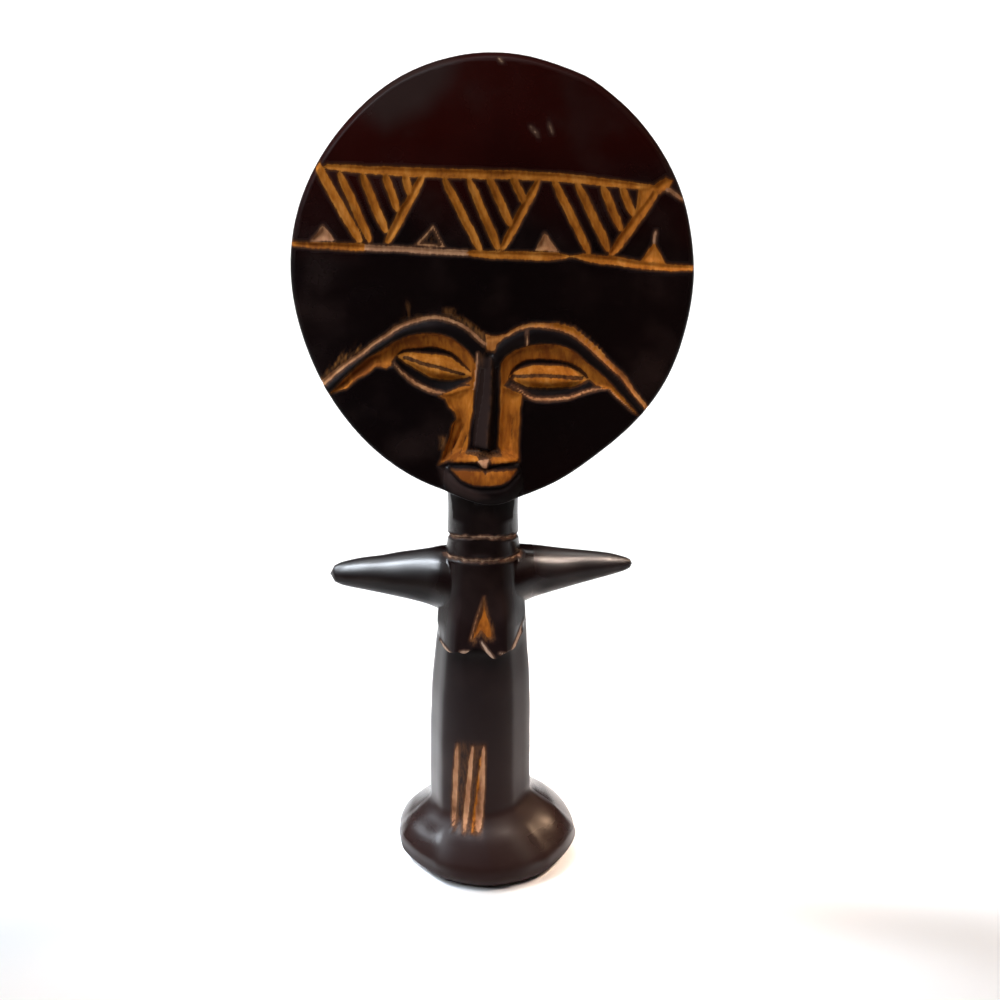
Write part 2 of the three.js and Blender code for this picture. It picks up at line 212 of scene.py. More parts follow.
# %% Lines drawn by hand, and the strongest of several marks
def rounded(line, count=20):
    """More points on a line, on a smooth curve through its own."""
    line = np.asarray(line, float)
    stop = np.concatenate([[0], np.cumsum(np.linalg.norm(np.diff(line, axis=0), axis=1))])
    place = np.linspace(0, stop[-1], count)
    return np.stack([smooth_through(place, stop, line[:, 0]), smooth_through(place, stop, line[:, 1])], -1)


def between(above, below):
    """A closed outline from two smooth curves, both given from left to right."""
    return np.concatenate([rounded(above), rounded(below)[::-1]])


def hand_drawn(across, up, seed):
    """The places shifted a little, by slow waves and a few nicks, so that no edge drawn on them is quite
    straight."""
    across_shift = 0.09 * unevenness(9, seed, across, up) + 0.05 * unevenness(2.6, seed + 1, across, up)
    up_shift = 0.09 * unevenness(9, seed + 2, across, up) + 0.05 * unevenness(2.6, seed + 3, across, up)
    return across + across_shift, up + up_shift


def strongest(marks):
    """Of several marks, each a pair of how far inside it a place lies and how pale its wood is, the greatest
    inside distance at each place and that mark's paleness. A negative paleness paints the orange darker, as
    shade."""
    inside, pale = marks[0][0], np.full(marks[0][0].shape, float(marks[0][1]))
    for other, paleness in marks[1:]:
        pale = np.where(other > inside, paleness, pale)
        inside = np.maximum(inside, other)
    return inside, pale


print("three stops rounded to", len(rounded([(0, 0), (5, 2), (10, 0)])), "points")

# %% [markdown]
# ## Where the head is carved
#
# The head is a slab whose front carries all the drawing. Places on it are given in its own frame, in
# millimetres: across to the right, and up the leaning face from the point over the chin. The forehead has a
# band of two lines, three groups of slanting strokes that end on a closing line, and small triangular chips
# between them.

# %% Lines, strokes and chips of the forehead band
TOP_LINE = [(-52.8, 114.5), (-40.8, 113.5), (-26.9, 112.8), (-13, 112.3), (4.3, 111.9), (17.2, 111.4),
            (31.1, 110.4), (45, 108.7), (52, 108), (58, 107.4)]
TOP_WIDTHS = [2.6, 3.2, 3.2, 2.9, 2.7]
BOTTOM_LEFT = [(-66, 88.7), (-51.7, 88), (-41.2, 87.5)]
BOTTOM_MIDDLE = [(-41.2, 87.5), (-30.7, 87.1), (-20.2, 86.4), (-6.2, 85.7)]
BOTTOM_RIGHT = [(-6.2, 85.7), (4.3, 85), (24.4, 84.6), (32.8, 84.3), (41.9, 83.2), (56, 81.1), (75, 80.1)]
BOTTOM_WIDTHS = [3, 3, 3.1, 2.8, 2]
LEFT_STROKES = [
    [(-56.2, 115.4), (-42.3, 89.9), 3.2], [(-48.4, 112.1), (-38.8, 89.9), 2.9],
    [(-40.8, 111.4), (-33.5, 93.1), 2.9], [(-33.2, 111.4), (-29.2, 100), 2.8],
    [(-26.6, 111.4), (-25.3, 105.6), 2.8], [(-20.8, 111.4), (-32.8, 89.6), 3],
]
MIDDLE_STROKES = [
    [(-13.3, 110), (-1.7, 86.8), 2.9], [(-5.3, 110), (4.3, 87.5), 2.9], [(1.3, 111), (8.7, 94.8), 2.9],
    [(9.1, 111), (13.4, 102.5), 2.8], [(18, 110), (5.9, 87.4), 3],
]
RIGHT_STROKES = [
    [(23.3, 109.2), (34.9, 86), 2.9], [(30.8, 108.9), (41.5, 86.8), 2.9], [(39.3, 107.8), (45.6, 93.8), 2.8],
    [(45.7, 107.2), (49.7, 98.6), 2.6], [(56.9, 105.6), (42.6, 85.3), 3.4],
]
SOLID_END = [(51.3, 107.6), (57.4, 108), (52.1, 99.3), (50.1, 97.2)]
TURNED_END = [(55.5, 106.6), (57.2, 109), (60.3, 111.1), (62.5, 109.7), (61.4, 107.3), (58.3, 105.2)]
BRANCH = [(60.3, 107.1), (62.4, 106.3), (64.9, 104.3), (68.6, 102.2)]
CHIPS = [
    ([(-59.1, 89.6), (-54.4, 95.2), (-50.3, 89.6)], 0.45), ([(16.6, 86.5), (20.1, 92.7), (25, 86)], 0.35),
    ([(52.1, 82.6), (56.9, 89.3), (61, 81.6)], 0),
]
FAINT_CHIP = [(-23.4, 88.4), (-17.4, 94.8), (-13.6, 87.8)]
SCRATCH = [(56.9, 88.5), (57.4, 93.2)]
NICKS = [[(4.8, 149.4), (5.7, 148.6)], [(15.2, 127.6), (17.8, 124.6)], [(21.2, 128.8), (22.4, 125.4)]]
STROKES = LEFT_STROKES + MIDDLE_STROKES + RIGHT_STROKES
print("forehead band:", len(STROKES), "strokes,", len(CHIPS) + 1, "chips and", len(NICKS), "nicks above it")


# %% The cuts of the band
def band_marks(across, up):
    """The cuts of the band and the nicks above it, as how far inside each of them a place lies and how pale
    its wood is. The bottom line is orange at both ends, worn grey left of the middle, and nearly lost in one
    spot."""
    across, up = hand_drawn(across, up, 1)
    faint = inside_area(across, up, FAINT_CHIP)
    lost = 1.1 * hill(across, 29, 4)
    marks = [
        (inside_cut(across, up, TOP_LINE, TOP_WIDTHS), 0),
        (inside_cut(across, up, BOTTOM_LEFT, [1.6, 3], 0.9), -0.3),
        (inside_cut(across, up, BOTTOM_MIDDLE, 2.6, 1) - 0.25, 0.5),
        (inside_cut(across, up, BOTTOM_RIGHT, BOTTOM_WIDTHS) - lost, 0),
        (inside_area(across, up, SOLID_END), 0),
        (inside_area(across, up, TURNED_END), 0),
        (inside_cut(across, up, BRANCH, [1.6, 0.8]), 0.45),
        (inside_cut(across, up, SCRATCH, 0.9), 0.6),
        *[(inside_cut(across, up, nick, 0.7), 0.8) for nick in NICKS],
        (0.35 - np.abs(faint - 0.2), 0.4),
    ]
    marks += [(inside_cut(across, up, [start, end], width), 0) for start, end, width in STROKES]
    marks += [(inside_area(across, up, corners), paleness) for corners, paleness in CHIPS]
    return marks


under_the_knife, _ = strongest(band_marks(np.array([-13.0]), np.array([112.3])))
print("the middle of the top line lies", round(float(under_the_knife[0]), 1), "mm inside its cut")

# %% [markdown]
# The face hangs from two long brows. They are dark ridges left standing, with a scraped line above each.
# Below them the sockets and a strip on each side of the nose are cut back and bare. The eyes are almonds,
# and the nose is a wedge with one sharp ridge. The lips stand on a small muzzle that juts over the neck.

# %% The brows
BROW_LINES = [
    {"line": rounded([(-57.4, 39.4), (-55.1, 41.4), (-51.6, 44.5), (-48.5, 47), (-45.1, 49.5), (-42, 51.6),
                      (-37.4, 55.3), (-33.6, 57.6), (-30.9, 59.8), (-26.1, 61.9), (-21.2, 63.2),
                      (-16.3, 63.8), (-12.5, 63), (-8.6, 61.4), (-4.7, 58.7), (-0.1, 54.5)], 32),
     "width": [2, 1.8, 1.3, 1.5, 1.3, 1.2, 1.4]},
    {"line": rounded([(0.9, 56.6), (3.8, 56.8), (6.8, 57.5), (10.6, 59.7), (14.5, 60.8), (20.3, 61.2),
                      (26.2, 60), (31.1, 57.8), (35, 54.8), (38.9, 51.1), (42.9, 47.1), (46.1, 44.1),
                      (50.4, 38.6), (54.1, 33.7), (57, 30)], 32),
     "width": [1.3, 1.3, 2, 2.4, 2, 1.6, 1.4]},
]
UNDER_BROWS = [
    rounded([(-54, 36.9), (-52.2, 38.6), (-49.8, 41.2), (-45.5, 45.2), (-40.1, 49.9), (-35.2, 52.6),
             (-31, 55.3), (-26.1, 57.5), (-21.2, 58.3), (-16.4, 58.3), (-13, 57.5), (-10.1, 55.8),
             (-6.7, 53.1), (-4.3, 49.8), (-3.2, 46.9)], 28),
    rounded([(5.3, 47.9), (7.2, 50.6), (10.7, 52.7), (15.5, 54.1), (20.4, 54.5), (25.3, 54.3), (29.2, 52.8),
             (32.6, 50.1), (36.5, 46.9), (40, 43.9), (43, 40.9), (46.2, 37.4), (49.6, 33.3),
             (52.8, 29.4)], 28),
]
BROWS = [
    between([(-56, 38.7), (-53.8, 40.6), (-50.5, 43.3), (-47.4, 46), (-44.3, 48.5), (-41.3, 51),
             (-38.2, 53.5), (-35.1, 55.3), (-31, 58.6), (-26.1, 60.7), (-21.2, 61.9), (-16.4, 62.3),
             (-12.5, 61.8), (-8.9, 60.2), (-4.7, 57.3), (-0.1, 53), (1.7, 49.8),
             (1.7, 45.5)], UNDER_BROWS[0]),
    between([(2.3, 45.5), (2.3, 49), (3.3, 53), (6.8, 56.2), (10.8, 58.5), (14.6, 59.7), (20.2, 60),
             (26, 58.6), (30.5, 56.5), (34.2, 53.7), (38, 50), (41.9, 46), (45, 42.8), (49.2, 37.5),
             (52.6, 33), (55, 29.6)],
            UNDER_BROWS[1]),
]
print("brows, mm from end to end:", [round(float(np.ptp(groove["line"][:, 0]))) for groove in BROW_LINES])

# %% Eyes, sockets and the lines round them
EYES = [
    {"lens": between([(-30.4, 50.2), (-29, 51.7), (-23.5, 52.7), (-18.2, 53.1), (-14.7, 52.4), (-11.7, 51.1),
                      (-7.9, 48), (-4.7, 44.6)],
                     [(-30.4, 50.2), (-29.5, 47.5), (-27.4, 44.6), (-24.8, 42.3), (-21, 40.3), (-17.2, 39.2),
                      (-13.3, 39.2), (-9.5, 39.6), (-6.5, 40.5), (-4.7, 41.9)]),
     "ball": between([(-30.2, 50), (-28.4, 50.8), (-23.5, 50.8), (-18.6, 50.3), (-16.3, 50.1), (-13.2, 49.6),
                      (-10.2, 48), (-7.2, 45.9), (-4.7, 43.8)],
                     [(-30.2, 50), (-28.5, 48.2), (-25.1, 46.1), (-22, 44.2), (-19, 42.4), (-14.8, 41.6),
                      (-9.5, 41.8), (-4.7, 42.9)]),
     "slit": [(-27.5, 49.3), (-21.6, 47.6), (-17.8, 46.7), (-13.3, 45.5), (-7.5, 43.6)]},
    {"lens": between([(8.1, 42.8), (9, 44.8), (10.7, 46.7), (13.1, 48.2), (17, 48.8), (21.9, 48.7),
                      (26.3, 48.3), (29.8, 47.3), (32.2, 45.8), (34.7, 43.6), (35.8, 41.8)],
                     [(8.1, 42.8), (10.7, 38.9), (14.1, 36.9), (17.6, 35.9), (22, 35.7), (25.5, 36.2),
                      (29.4, 37.2), (32.3, 38.4), (35.8, 41.8)]),
     "ball": between([(8.3, 43), (11.7, 45.1), (15.1, 46.2), (20.5, 46.4), (25.4, 46.3), (28.3, 45.8),
                      (30.8, 44.7), (33.2, 43.1), (35.4, 41.7)],
                     [(8.3, 43), (10.7, 40.9), (14.1, 39.3), (19.5, 38.6), (24.4, 38.6), (28.9, 39.1),
                      (32.3, 39.9), (35.4, 41.7)]),
     "slit": [(9.6, 42.7), (15.6, 43.2), (20.5, 43.3), (25.4, 43.1), (33.2, 42)]},
]
LEFT_RIM = [(-33.8, 46.2), (-37.6, 46.6), (-40.3, 44.1), (-44.2, 42.3), (-47.3, 39.2), (-50.6, 38.2)]
RIGHT_RIM = [(51.1, 30.6), (46.8, 34.7), (43.1, 38.8)]
SOCKETS = [
    np.concatenate([UNDER_BROWS[0], [(-3.4, 42.1), (-3.8, 39.2), (-6, 40), (-14, 44), (-26, 48),
                                     (-30.4, 50.2), (-32.3, 48.3), (-32.3, 47)], LEFT_RIM]),
    np.concatenate([UNDER_BROWS[1], RIGHT_RIM, [(38.2, 39.8), (35.8, 41.8), (22, 43), (8.3, 43), (7.4, 40.8),
                                                (5.3, 39.4)]]),
]
HOLLOWS = [
    np.concatenate([UNDER_BROWS[0], [(-3.4, 42.1), (-4, 38.7), (-13, 36.4), (-17.9, 36.7), (-20.9, 37.9),
                                     (-24.8, 40.1), (-28.4, 43.1), (-31.6, 46.4)], LEFT_RIM]),
    np.concatenate([UNDER_BROWS[1], RIGHT_RIM, [(38.2, 37.8), (32.3, 36.2), (28.4, 34.9), (24, 34.1),
                                                (19.5, 33.8), (15.1, 34.9), (11.7, 37.3), (6.6, 39.2),
                                                (5.3, 39.4)]]),
]
RING_LINES = [
    {"line": rounded([(-31.4, 47.7), (-30.4, 46.4), (-27.7, 43.7), (-24.4, 40.9), (-20.9, 39), (-17.9, 37.8),
                      (-13.5, 37.1)]), "width": [0.9, 1.4, 1.6, 1.4]},
    {"line": rounded([(9, 39.8), (11.7, 38.2), (15.1, 35.9), (19.5, 34.9), (24, 35.1), (28.4, 35.8),
                      (32.3, 37.1), (38.2, 38.7), (42.1, 39.2)]), "width": [1, 1.2, 1.3, 1.2, 1.2]},
    {"line": [(42.1, 39.4), (46.4, 35.1), (51.1, 30.8)], "width": [1.3, 1.3]},
]
print("eyes, mm wide:", [round(float(np.ptp(eye["lens"][:, 0])), 1) for eye in EYES])

# %% Cheek strips and nose
CHEEKS = [
    [(-3.6, 40), (-4.6, 30.6), (-5.4, 25.6), (-6.4, 18), (-7.4, 14.9), (-10.5, 14.6), (-16.3, 12),
     (-14.7, 16.2), (-12.8, 21.3), (-11.4, 26.3), (-9.9, 28.3), (-10.8, 30.8), (-12.8, 32.6), (-13.6, 35.3),
     (-16, 36.4), (-8, 39.5)],
    [(5.3, 40.4), (5.1, 34), (4.8, 28.1), (4.4, 18.9), (6, 14.2), (11.6, 13.6), (11.4, 19), (11.7, 25.8),
     (11.9, 30.8), (12.6, 36.8)],
]
GOUGES = [[(-10.4, 27.4), (-14, 14.4)], [(-7.8, 25.2), (-12.1, 15.6)], [(-6.6, 22.2), (-9, 15.6)],
          [(9.4, 28), (8.8, 19)]]
NOSE_UP = [17.7, 25.6, 30.6, 35.6, 39.1, 42.1, 52.8]
NOSE_LEFT = [-5.9, -5.0, -4.3, -3.5, -3.2, -3.0, -2.8]
NOSE_RIGHT = [4.4, 4.7, 5.0, 5.2, 5.3, 5.3, 5.0]
NOSE_RIDGE = [0.7, 0.9, 1.5, 1.9, 2.1, 2.1, 2.2]
BETWEEN_BROWS = [(-0.3, 58.2), (2.6, 57.3), (6, 57.8), (8.6, 58.5), (6.6, 56.9), (4.5, 54.8), (3.1, 52),
                 (0.6, 52.4)]
print("nose:", round(NOSE_RIGHT[0] - NOSE_LEFT[0], 1), "mm wide at its tip,",
      round(NOSE_RIGHT[-1] - NOSE_LEFT[-1], 1), "mm at its root")

# %% Relief of brows and nose
SOCKET_DEPTH = 2.6
BROW_HALF_WIDTH = 2.1
BROW_RISE = 1.2
NOSE_ROOT_RISE = 1.0
NOSE_TIP_RISE = 4.4


def brow_relief(across, up):
    """Height of the brows: each stands up from its edges in a quarter round, and falls off steeply
    outside."""
    areas = np.maximum.reduce([inside_area(across, up, brow) for brow in BROWS])
    dome = np.sqrt(np.clip(1 - (1 - np.clip(areas / BROW_HALF_WIDTH, 0, 1)) ** 2, 0, 1))
    return BROW_RISE * dome - 4 * np.clip(-areas, 0, 3)


def nose_relief(across, up):
    """Height of the nose: two flat sides that meet in a ridge, rising to the tip and cut off square below
    it."""
    ridge = smooth_through(up, NOSE_UP, NOSE_RIDGE)
    left = smooth_through(up, NOSE_UP, NOSE_LEFT)
    right = smooth_through(up, NOSE_UP, NOSE_RIGHT)
    edge = np.where(across < ridge, left, right)
    side = np.clip((across - ridge) / (edge - ridge), 0, 2)
    down = (NOSE_UP[-1] - up) / (NOSE_UP[-1] - NOSE_UP[0])
    top = NOSE_ROOT_RISE + (NOSE_TIP_RISE - NOSE_ROOT_RISE) * down
    height = top - (top + SOCKET_DEPTH) * side ** 1.2
    return height - 9 * (1 - ramp(up, NOSE_UP[0] - 0.7, NOSE_UP[0] + 0.4)) - 6 * ramp(up, 49, 55)


nose_tip = nose_relief(np.array([NOSE_RIDGE[0]]), np.array([NOSE_UP[0] + 0.5]))
print("the tip of the nose stands", round(float(nose_tip[0]), 1), "mm over the plain face")

# %% Relief of the mouth, and of the whole face
MUZZLE_MIDDLE = (-0.8, 6.6)
MUZZLE_HALF = (13.6, 11.2)
MUZZLE_RISE = 4.6
MOUTH_GAP = rounded([(-13.2, 11.6), (-9.8, 12.3), (-2.9, 12), (-0.3, 11), (0.6, 11.1), (4.5, 12.1),
                     (10.4, 12.5)])
UNDER_LIP = rounded([(-12.2, 9.4), (-8.6, 6), (-4.1, 4.3), (1.3, 3.9), (6.5, 4.6), (11.3, 8.8)])
LIP_LINE = [(-11, 14.3), (-6.8, 15.1), (-3, 15.1), (-0.4, 12.6), (1.4, 14.2), (5.7, 14.4), (11, 14.2)]


def muzzle_relief(across, up):
    """Height of the muzzle: a low mound with a groove between the lips, one under the lower lip, and a roll
    for each lip."""
    mound = (np.abs(across - MUZZLE_MIDDLE[0]) / MUZZLE_HALF[0]) ** 2.4
    mound = mound + (np.abs(up - MUZZLE_MIDDLE[1]) / MUZZLE_HALF[1]) ** 2.4
    height = MUZZLE_RISE * np.clip(1 - mound, 0, 1) ** 0.6 - 5 * np.clip(mound - 1, 0, 2)
    gap, _ = near_line(across, up, MOUTH_GAP)
    under, _ = near_line(across, up, UNDER_LIP)
    upper, _ = near_line(across, up, LIP_LINE)
    lips = 0.8 * hill(upper, 0, 1.1) + 0.3 * hill(up, 7.2, 2.4) * ramp(11.8 - np.abs(across + 0.4), 0, 4)
    notch = 0.5 * hill(across + 0.4, 0, 0.7) * hill(up, 9, 2)
    return height + lips - 1.4 * hill(gap, 0, 0.75) - 1.2 * hill(under, 0, 0.9) - notch


def face_relief(across, up):
    """Height of the whole face over the plain front: the hollows and cheek strips cut back in a short wall
    and a long slope, and eyeballs, brows, nose and muzzle standing out of them."""
    hollow = np.maximum.reduce([inside_area(across, up, area) for area in HOLLOWS + CHEEKS])
    height = -SOCKET_DEPTH * (0.5 * ramp(hollow, -0.2, 1.7) + 0.5 * ramp(hollow, 0, 6))
    for eye in EYES:
        lens = inside_area(across, up, eye["lens"])
        ball = inside_area(across, up, eye["ball"])
        slit, _ = near_line(across, up, eye["slit"])
        height = height - 1.1 * ramp(lens, -0.3, 0.9) + 2.9 * ramp(ball, -0.6, 3.0) - 0.6 * hill(slit, 0, 0.7)
    for gouge in GOUGES:
        distance, _ = near_line(across, up, gouge)
        height = height - 0.7 * hill(distance, 0, 0.7)
    height = np.maximum(height, brow_relief(across, up))
    for groove in BROW_LINES:
        inside = inside_cut(across, up, groove["line"], np.array(groove["width"]) + 0.8)
        height = height - 0.9 * np.clip(inside, 0, 0.9)
    height = np.maximum(height, nose_relief(across, up))
    return np.maximum(height, muzzle_relief(across, up) - 2 * ramp(up, 14, 19) - 0.01)


lower_lip = face_relief(np.array([MUZZLE_MIDDLE[0]]), np.array([7.5]))
print("the lower lip stands", round(float(lower_lip[0]), 1), "mm over the plain face")

# %% [markdown]
# ## The head
#
# The head is egg-shaped with its point down, 16 mm thick, and its edge is rounded over by the knife. It
# could be a beveled extrusion, but then the front would have too few points for the drawing, or the back far
# too many. Here each ring is a level slice through the slab: along the front from left to right, and back
# behind it.

# %% The outline of the head
LEAN = math.radians(8)
CHIN_HEIGHT = 150
FACE_DEPTH = 12
HEAD_MIDDLE = (2.3, 76.2)
HEAD_THICKNESS = 16
EDGE = 1.7


def head_radius(turn):
    """Radius of the head's outline at a turn from straight up: a circle made taller, a little square and
    pointed at the chin, with the flats and fullnesses that the knife left, and the chin's own small
    bulge."""
    egg = 71.3 + 4.1 * np.cos(2 * turn) - np.cos(3 * turn) + 0.8 * np.cos(4 * turn)
    right = np.degrees(np.arctan2(np.sin(turn), np.cos(turn)))
    egg = egg - 1.9 * hill(right, 150, 14) + 0.9 * hill(right, 119, 14) + 0.5 * hill(right, 26, 5)
    egg = egg - 0.4 * hill(right, -42, 20) + 0.4 * hill(right, -128, 16) - 0.4 * hill(right, 78, 10)
    egg = egg + 0.9 * ramp(right, 12, 40) * ramp(right, 168, 140)
    egg = egg + 0.6 * ramp(-right, 8, 30) * ramp(-right, 170, 140)
    return egg + 2.2 * hill(np.abs(right), 180, 7)


def head_outline(up):
    """Left and right end of the level line through the head at each height."""
    turn = np.linspace(0, np.pi, 2000)
    right = HEAD_MIDDLE[0] + head_radius(turn) * np.sin(turn)
    left = HEAD_MIDDLE[0] - head_radius(-turn) * np.sin(turn)
    rise = HEAD_MIDDLE[1] + head_radius(turn) * np.cos(turn)
    rise_left = HEAD_MIDDLE[1] + head_radius(-turn) * np.cos(turn)
    return np.interp(up, rise_left[::-1], left[::-1]), np.interp(up, rise[::-1], right[::-1])


def inset(across, up):
    """How far inside the head's outline each place lies, measured towards the head's middle."""
    turn = np.arctan2(across - HEAD_MIDDLE[0], up - HEAD_MIDDLE[1])
    return head_radius(turn) - np.hypot(across - HEAD_MIDDLE[0], up - HEAD_MIDDLE[1])


left_end, right_end = head_outline(np.array([HEAD_MIDDLE[1]]))
print("head:", round(float(right_end[0] - left_end[0]), 1), "mm wide,",
      round(float(head_radius(0) + head_radius(np.pi)), 1), "mm high")

# %% The head's front and back
CUT_SLOPE = 0.9
FACET_CORNER = (-8, 141.5)
FACET_ACROSS = math.radians(-28)
CROWN = 0.9


def head_front(across, up):
    """Height of the front over the plain face: a slight crown, the hand's unevenness, a shallow facet at the
    upper left, the face's relief and the band's V-shaped cuts."""
    crown = -CROWN * ((across - HEAD_MIDDLE[0]) ** 2 + (up - HEAD_MIDDLE[1]) ** 2) / 70 ** 2
    wobble = 0.16 * unevenness(34, 3, across, up) + 0.05 * unevenness(11, 4, across, up)
    beyond = (up - FACET_CORNER[1]) * math.cos(FACET_ACROSS)
    beyond = beyond + (across - FACET_CORNER[0]) * math.sin(FACET_ACROSS)
    facet = 0.07 * np.sqrt(np.clip(beyond, 0, None) ** 2 + 4) * ramp(beyond, -3, 3)
    cut, _ = strongest(band_marks(across, up))
    return crown + wobble - facet + face_relief(across, up) - CUT_SLOPE * np.clip(cut, 0, 1.3)


def head_back(across, up):
    """Height of the back under the middle of the slab: a low crown with broad knife facets."""
    far = np.hypot(across - HEAD_MIDDLE[0], up - HEAD_MIDDLE[1]) / 75
    return HEAD_THICKNESS / 2 * (1 - 0.3 * far ** 2) + 0.3 * unevenness(30, 5, across, up)


thickest = HEAD_THICKNESS / 2 + head_back(np.array([HEAD_MIDDLE[0]]), np.array([HEAD_MIDDLE[1]]))
print("head:", round(float(thickest[0]), 1), "mm thick in the middle")


# %% The head's rings
def head_rings():
    """Rings up the slab. Each runs along the front from left to right and returns behind. Front and back
    come together at the edge as a quarter of an ellipse."""
    lowest = HEAD_MIDDLE[1] - head_radius(np.pi)
    highest = HEAD_MIDDLE[1] + head_radius(0)
    stops = [lowest, lowest + 0.5, lowest + 3, 62, 68, 77, 80, 116, 119, highest - 5, highest - 0.6, highest]
    up = stations(stops, [0.1, 0.35, 0.6, 0.6, 1.6, 1.6, 0.55, 0.55, 1.8, 1.8, 0.4, 0.1])[1:-1, None]
    left, right = head_outline(up)
    edge = stations([0, 0.4, EDGE], [0.06, 0.3, 0.7])
    plain = np.linspace(0, 1, 236)[1:-1]
    reach = np.minimum(edge, (right - left) / 2 * edge / (EDGE * 1.3))
    inner = left + reach[:, -1:] + (right - left - 2 * reach[:, -1:]) * plain
    front_across = np.hstack([left + reach, inner, right - reach[:, ::-1]])
    back_plain = np.linspace(1, 0, 32)[1:-1]
    back_inner = left + reach[:, -1:] + (right - left - 2 * reach[:, -1:]) * back_plain
    back_across = np.hstack([right - reach[:, 1:], back_inner, left + reach[:, :0:-1]])
    up = up + 0 * front_across
    roll = np.sqrt(np.clip(1 - (1 - np.clip(inset(front_across, up) / EDGE, 0, 1)) ** 2, 0, 1))
    front_out = (HEAD_THICKNESS / 2 + head_front(front_across, up)) * roll - HEAD_THICKNESS / 2
    back_up = up[:, :1] + 0 * back_across
    roll = np.sqrt(np.clip(1 - (1 - np.clip(inset(back_across, back_up) / EDGE, 0, 1)) ** 2, 0, 1))
    back_out = -HEAD_THICKNESS / 2 - head_back(back_across, back_up) * roll
    across = np.hstack([front_across, back_across])
    up = np.hstack([up, back_up])
    return across, up, np.hstack([front_out, back_out])


def from_head(across, up, out):
    """Places in the head's own frame as places in the figure's: tipped back by the lean, over the chin's
    height."""
    y = up * math.sin(LEAN) - out * math.cos(LEAN) - FACE_DEPTH
    z = up * math.cos(LEAN) + out * math.sin(LEAN) + CHIN_HEIGHT
    return np.stack([across + 0 * up, y, z], -1)


across, up, out = head_rings()
turns = np.array([np.pi, 0.0])
end_up = HEAD_MIDDLE[1] + head_radius(turns) * np.cos(turns)
end_across = HEAD_MIDDLE[0] + 0 * turns
ends = from_head(end_across, end_up, np.full(2, -HEAD_THICKNESS / 2))
head = closed_skin("head", from_head(across, up, out), *ends)

# %% [markdown]
# ## Foot, body and neck
#
# All three were turned or shaved round one upright axis, so they are one lathe skin. Its outline runs from
# the middle of the flat underside up a bevel, over the dome of the foot, into the crease, and up the column
# to a neck with two cut rings. What isn't round is then added as a function of turn and height: the chest,
# which thickens down to a ledge with a valley in its middle, and three long cuts low on the front.

# %% The outline of the trunk
UNDERSIDE_RADIUS = 27.4
FOOT_HEIGHTS = [0, 1.2, 3.2, 5.5, 8, 10.5, 13, 15.5, 17.6, 19.4, 21.5, 25]
FOOT_RADII = [UNDERSIDE_RADIUS, 29, 31.4, 33, 33.5, 33.4, 31.8, 29.7, 27.6, 25.3, 22.8, 19.5]
FOOT_TOP = 19.5
LEDGE = 92.8
COLUMN_HEIGHTS = [25, 29, 38, 55, 72, 80, 88, 99.5, 112, 118, 123, 126, 129.5, 135, 143, 150, 160, 168]
COLUMN_RADII = [19.5, 19.3, 19.1, 18.9, 18.4, 17.8, 17, 16, 15.4, 14.8, 14, 13.5, 12.9, 12.7, 12.5, 12.6,
                11.6, 8.8]
TRUNK_TOP = 170


def trunk_outline():
    """Radius and height up the trunk: a flat, then a smooth curve through the measured radii of foot, column
    and neck."""
    flat = np.array([9.0, 18.0, 24.0, UNDERSIDE_RADIUS - 0.5])
    stops = [0, 1, 9, 18, 22, 57, 60, 88, 91.5, 94.5, 97, 113, 119, 124, 137, 139, 150, 152, TRUNK_TOP - 2]
    pitches = [0.4, 0.8, 1.1, 1.1, 1.4, 1.4, 3, 1.6, 0.22, 0.22, 0.8, 0.8, 1.2, 0.42, 0.42, 1.6, 1.6, 3, 3]
    height = stations(stops, pitches)
    radius = smooth_through(height, FOOT_HEIGHTS + COLUMN_HEIGHTS[1:], FOOT_RADII + COLUMN_RADII[1:])
    return np.concatenate([flat, radius]), np.concatenate([0 * flat, height])


def trunk_middle(height):
    """How far the trunk's middle lies to the side: the column stands a little left of the foot, the neck
    less."""
    return -2.6 * ramp(height, 8, 20) + 0.7 * ramp(height, 50, 85) + 0.8 * ramp(height, 85, 130)


print("foot:", 2 * max(FOOT_RADII), "mm across, column:", 2 * COLUMN_RADII[0], "mm, neck:",
      2 * min(COLUMN_RADII[:-2]), "mm")

# %% Planes shaved on foot and column
FOOT_PLANES = np.radians([-172, -133, -92, -52, -14, 24, 64, 104, 143])
COLUMN_PLANES = np.radians([-68, 62])


def foot_planes(turn):
    """The share of a circle's radius at which the nearest of several upright planes lies."""
    away = turn[..., None] - FOOT_PLANES
    return 0.978 / np.max(np.cos(away), -1)


def column_planes(turn):
    """The share of a circle's radius at which the nearer of two upright planes lies, one on each side of the
    column's front, with the arris between plane and round a little softened."""
    plane = np.min(0.93 / np.clip(np.cos(turn[..., None] - COLUMN_PLANES), 0.3, 1), -1)
    return (1 + plane - np.hypot(1 - plane, 0.02)) / 2


print("planes:", len(FOOT_PLANES), "round the foot,", len(COLUMN_PLANES), "on the column")

